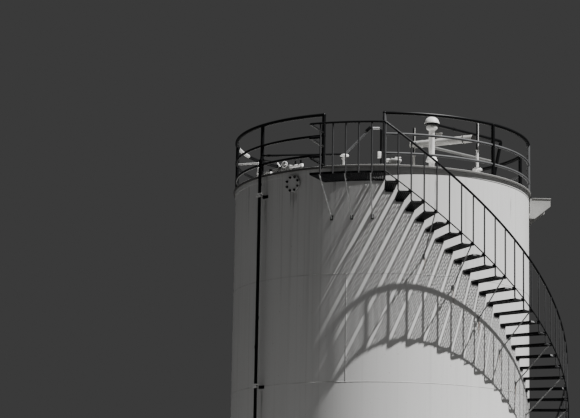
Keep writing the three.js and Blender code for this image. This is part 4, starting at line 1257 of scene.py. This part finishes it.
def gauge_hatch():
    """A dip hatch: a grey body with a white band, and a hinged white lid with a handle."""
    x, y = DIP_HATCH
    lid = roof_height(math.hypot(x, y)) + DIP_HATCH_H
    body = [(0, lid - 0.19), (0.1, lid - 0.19), (0.1, lid - 0.045), (0.121, lid - 0.042),
            (0.124, lid - 0.038), (0.124, lid - 0.024), (0.121, lid - 0.021), (0, lid - 0.021)]
    band = [(0.095, lid - 0.165), (0.118, lid - 0.165), (0.12, lid - 0.162), (0.12, lid - 0.13),
            (0.117, lid - 0.127), (0.095, lid - 0.127)]
    cover = [(0, lid - 0.0205), (0.122, lid - 0.0205), (0.125, lid - 0.017), (0.125, lid - 0.006),
             (0.118, lid), (0.05, lid + 0.006), (0, lid + 0.007)]
    bm = bmesh.new()
    turned(bm, body, step=10, centre=DIP_HATCH)
    piece("dip_hatch_body", bm, thin_pipe_grey)
    bm = bmesh.new()
    turned(bm, band, step=10, centre=DIP_HATCH)
    turned(bm, cover, step=10, centre=DIP_HATCH)
    hinge_x, handle_x = x - 0.13, x + 0.06
    block(bm, (0.06, 0.05, 0.06), offset(hinge_x, y, lid - 0.01), soften=0.004)
    bar(bm, (hinge_x, y - 0.035, lid - 0.005), (hinge_x, y + 0.035, lid - 0.005), 0.014)
    block(bm, (0.024, 0.024, 0.06), offset(handle_x, y, lid + 0.02), soften=0.003)
    block(bm, (0.11, 0.024, 0.02), offset(handle_x, y, lid + 0.045), soften=0.004)
    for n in range(6):
        upright_bolt(bm, at(0.114, 30 + 60 * n, lid - 0.001) + Vector((x, y, 0)), 0.014, 0.01)
    piece("dip_hatch", bm, white_paint, ["gauge_hatch"])


def gauge_pole():
    """A flanged stub on the roof with a pair of slim rods above it: a dark one, and a pale one beside it
    as painted highlight on its sunlit side.
    """
    x, y = GAUGE_POST
    base = roof_height(math.hypot(x, y))
    section = [(0, base - 0.01), (0.045, base - 0.01), (0.045, 10.16), (0.093, 10.161), (0.095, 10.164),
               (0.095, 10.186), (0.093, 10.189), (0.03, 10.19), (0.025, 10.196), (0.025, 10.54),
               (0.029, 10.545), (0.029, 10.56), (0, 10.56)]
    bm = bmesh.new()
    turned(bm, section, step=15, centre=GAUGE_POST)
    # Pale rod beside the dark one: painted highlight on the pole's sunlit side
    bar(bm, (x + 0.014, y, 10.55), (x + 0.014, y, 11.09), 0.02)
    for n in range(4):
        upright_bolt(bm, at(0.07, 45 + 90 * n, 10.189) + Vector((x, y, 0)), 0.02, 0.014)
    piece("gauge_post", bm, white_paint, ["gauge_pole"])
    bm = bmesh.new()
    bar(bm, (x - 0.01, y, 10.55), (x - 0.01, y, 11.08), 0.026)
    piece("gauge_post_dark_rod", bm, dark_paint)


def hand_wheel(bm, centre, facing, diameter, rim):
    """A round rim about a level axis, with two spokes."""
    out = facing.normalized()
    aside = out.cross(lift(1))
    lie = aside.to_track_quat("Z", "Y").to_matrix().to_4x4()
    place = Matrix.Translation(centre + lift(diameter / 2)) @ lie
    ring = bmesh.ops.create_circle(bm, radius=rim / 2, segments=8, matrix=place)["verts"]
    bmesh.ops.spin(bm, geom=ring + edges_of(ring), cent=centre, axis=out, angle=2 * math.pi, steps=24,
                   use_merge=True)
    for a in (0.6, 2.2):
        half = (aside * math.cos(a) + lift(math.sin(a))) * diameter / 2
        bar(bm, centre - half, centre + half, rim * 0.7, 8)


def edge_pipe():
    """The grey level pipe inside the guardrail, on four legs, with its valve body."""
    r, z = EDGE_PIPE_R, EDGE_PIPE_Z
    spans = 4
    turn = (EDGE_PIPE_END - EDGE_PIPE_START) / spans
    bm = bmesh.new()
    pipe_run(bm, [at(r, EDGE_PIPE_START + turn * n, z) for n in range(spans + 1)], 0.040)
    for bearing in EDGE_PIPE_LEGS:
        bar(bm, at(r, bearing, roof_height(r) - 0.005), at(r, bearing, z), 0.034)
        block(bm, (0.09, 0.09, 0.012), on_roof(r, bearing, 0.004), soften=0.002)
    bar(bm, at(r, -40.6, z), at(r, -45.6, z), 0.084, 20)
    for bearing in (-40.2, -46.0):
        bar(bm, at(r, bearing - 0.25, z), at(r, bearing + 0.25, z), 0.1, 20)
    bar(bm, at(r, -43, z), at(r, -43, z + 0.11), 0.05)
    piece("edge_pipe", bm, thin_pipe_grey, ["roof_pipework"])


def edge_pipe_white():
    """The white pieces on the edge pipe: a raking bar, a hand wheel, a lever and an end fitting."""
    r, z, end = EDGE_PIPE_R, EDGE_PIPE_Z, EDGE_PIPE_END
    bar_end, bar_foot = Vector((-2.83, -0.45, 10.55)), Vector((-2.395, -1.32, 10.39))
    axis = at(r, end, 0)[:2]
    bm = bmesh.new()
    bar(bm, bar_end, bar_foot, 0.032)
    bar(bm, bar_foot, at(r, end, z), 0.034)
    bar(bm, bar_foot, (bar_foot.x, bar_foot.y, roof_height(bar_foot.xy.length) - 0.004), 0.034)
    ball(bm, bar_foot, 0.021)
    bar(bm, at(r, -33.7, z + 0.004), at(r, -40, z + 0.004), 0.056, 20)
    wheel = at(r + 0.055, -42.3, z + 0.055)
    hand_wheel(bm, wheel, at(1, -25, 0), 0.115, 0.018)
    bar(bm, at(r, -42.3, z + 0.055), wheel, 0.02)
    bar(bm, at(r + 0.02, -47.2, z + 0.12), at(r + 0.02, -44.9, z), 0.03)
    block(bm, (0.07, 0.13, 0.06), station(r + 0.03, -51.8, z - 0.055), soften=0.008)
    disc(bm, axis, z - 0.045, z + 0.13, 0.096, 20, 0.006)
    disc(bm, axis, z + 0.02, z + 0.04, 0.12, 20, 0.003)
    bar(bm, at(r + 0.03, end + 2.2, z - 0.04), at(r + 0.03, end + 0.6, z + 0.09), 0.034)
    piece("edge_pipe_white", bm, white_paint)


def edge_pipe_stubs():
    r, z = EDGE_PIPE_R, EDGE_PIPE_Z
    bm = bmesh.new()
    for bearing in (-34.6, -37.4):
        bar(bm, at(r, bearing, z + 0.01), at(r, bearing, z + 0.1), 0.034)
        disc(bm, at(r, bearing, 0)[:2], z + 0.085, z + 0.1, 0.046, 12, 0.003)
    disc(bm, at(r + 0.03, -51.2, 0)[:2], z - 0.02, z + 0.028, 0.06, 14, 0.004)
    piece("edge_pipe_stubs", bm, dark_paint)


bottom_disc()
shell()
curb_ring()
cone_roof()
guardrails()
stair()
landing_frame()
landing_floor()
landing_guard()
landing_balusters()
bridge_seat()
riser_pipes()
shell_nozzles()
vent_stack()
breather()
small_vent()
gauge_hatch()
gauge_pole()
edge_pipe()
edge_pipe_white()
edge_pipe_stubs()


# Studio: angles in degrees, the lens and its sensor in millimetres
FLOOR_GREY, WORLD_GREY = (0.155, 0.155, 0.155, 1), (0.1, 0.1, 0.1, 1)
WORLD_STRENGTH = 0.5
SUN_STRENGTH, SUN_WIDTH_DEG = 9.0, 0.5
SUN_HEIGHT, SUN_BEARING = 59.5, 64.9
CAMERA_PLACE = (0, -42.05, 1.5)
CAMERA_YAW, CAMERA_PITCH, CAMERA_ROLL = -2.479, 11.094, 1.035
CAMERA_LENS, CAMERA_SENSOR = 133.85, 36


def pale_floor():
    bpy.ops.mesh.primitive_plane_add(size=30, location=(0, 0, -0.002))
    floor = bpy.context.object
    floor.name = "studio_floor"
    pale = bpy.data.materials.new("pale_floor")
    pale.use_nodes = True
    shader = pale.node_tree.nodes["Principled BSDF"]
    shader.inputs["Base Color"].default_value = FLOOR_GREY
    shader.inputs["Roughness"].default_value = 0.9
    floor.data.materials.append(pale)


def soft_world():
    world = bpy.data.worlds.new("soft_world")
    bpy.context.scene.world = world
    world.use_nodes = True
    background = world.node_tree.nodes["Background"]
    background.inputs["Color"].default_value = WORLD_GREY
    background.inputs["Strength"].default_value = WORLD_STRENGTH


def key_light():
    key = bpy.data.lights.new("key_light", "SUN")
    key.energy = SUN_STRENGTH
    key.angle = math.radians(SUN_WIDTH_DEG)
    lamp = bpy.data.objects.new("key_light", key)
    bpy.context.scene.collection.objects.link(lamp)
    height = math.radians(SUN_HEIGHT)
    towards = at(math.cos(height), SUN_BEARING, math.sin(height))
    lamp.rotation_euler = towards.to_track_quat("Z", "Y").to_euler()


def camera():
    """The photograph's view: turned by its yaw and pitch, then rolled about its line of sight."""
    yaw, pitch, roll = (math.radians(v) for v in (CAMERA_YAW, CAMERA_PITCH, CAMERA_ROLL))
    forward = Vector((math.sin(yaw) * math.cos(pitch), math.cos(yaw) * math.cos(pitch), math.sin(pitch)))
    right = Vector((math.cos(yaw), -math.sin(yaw), 0))
    up = right.cross(forward)
    across = right * math.cos(roll) + up * math.sin(roll)
    upward = up * math.cos(roll) - right * math.sin(roll)
    data = bpy.data.cameras.new("camera")
    data.sensor_width = CAMERA_SENSOR
    data.sensor_fit = "HORIZONTAL"
    data.lens = CAMERA_LENS
    data.clip_end = 400
    view = bpy.data.objects.new("camera", data)
    bpy.context.scene.collection.objects.link(view)
    turn = Matrix((across, upward, -forward)).transposed().to_4x4()
    view.matrix_world = Matrix.Translation(CAMERA_PLACE) @ turn
    bpy.context.scene.camera = view


pale_floor()
soft_world()
key_light()
camera()
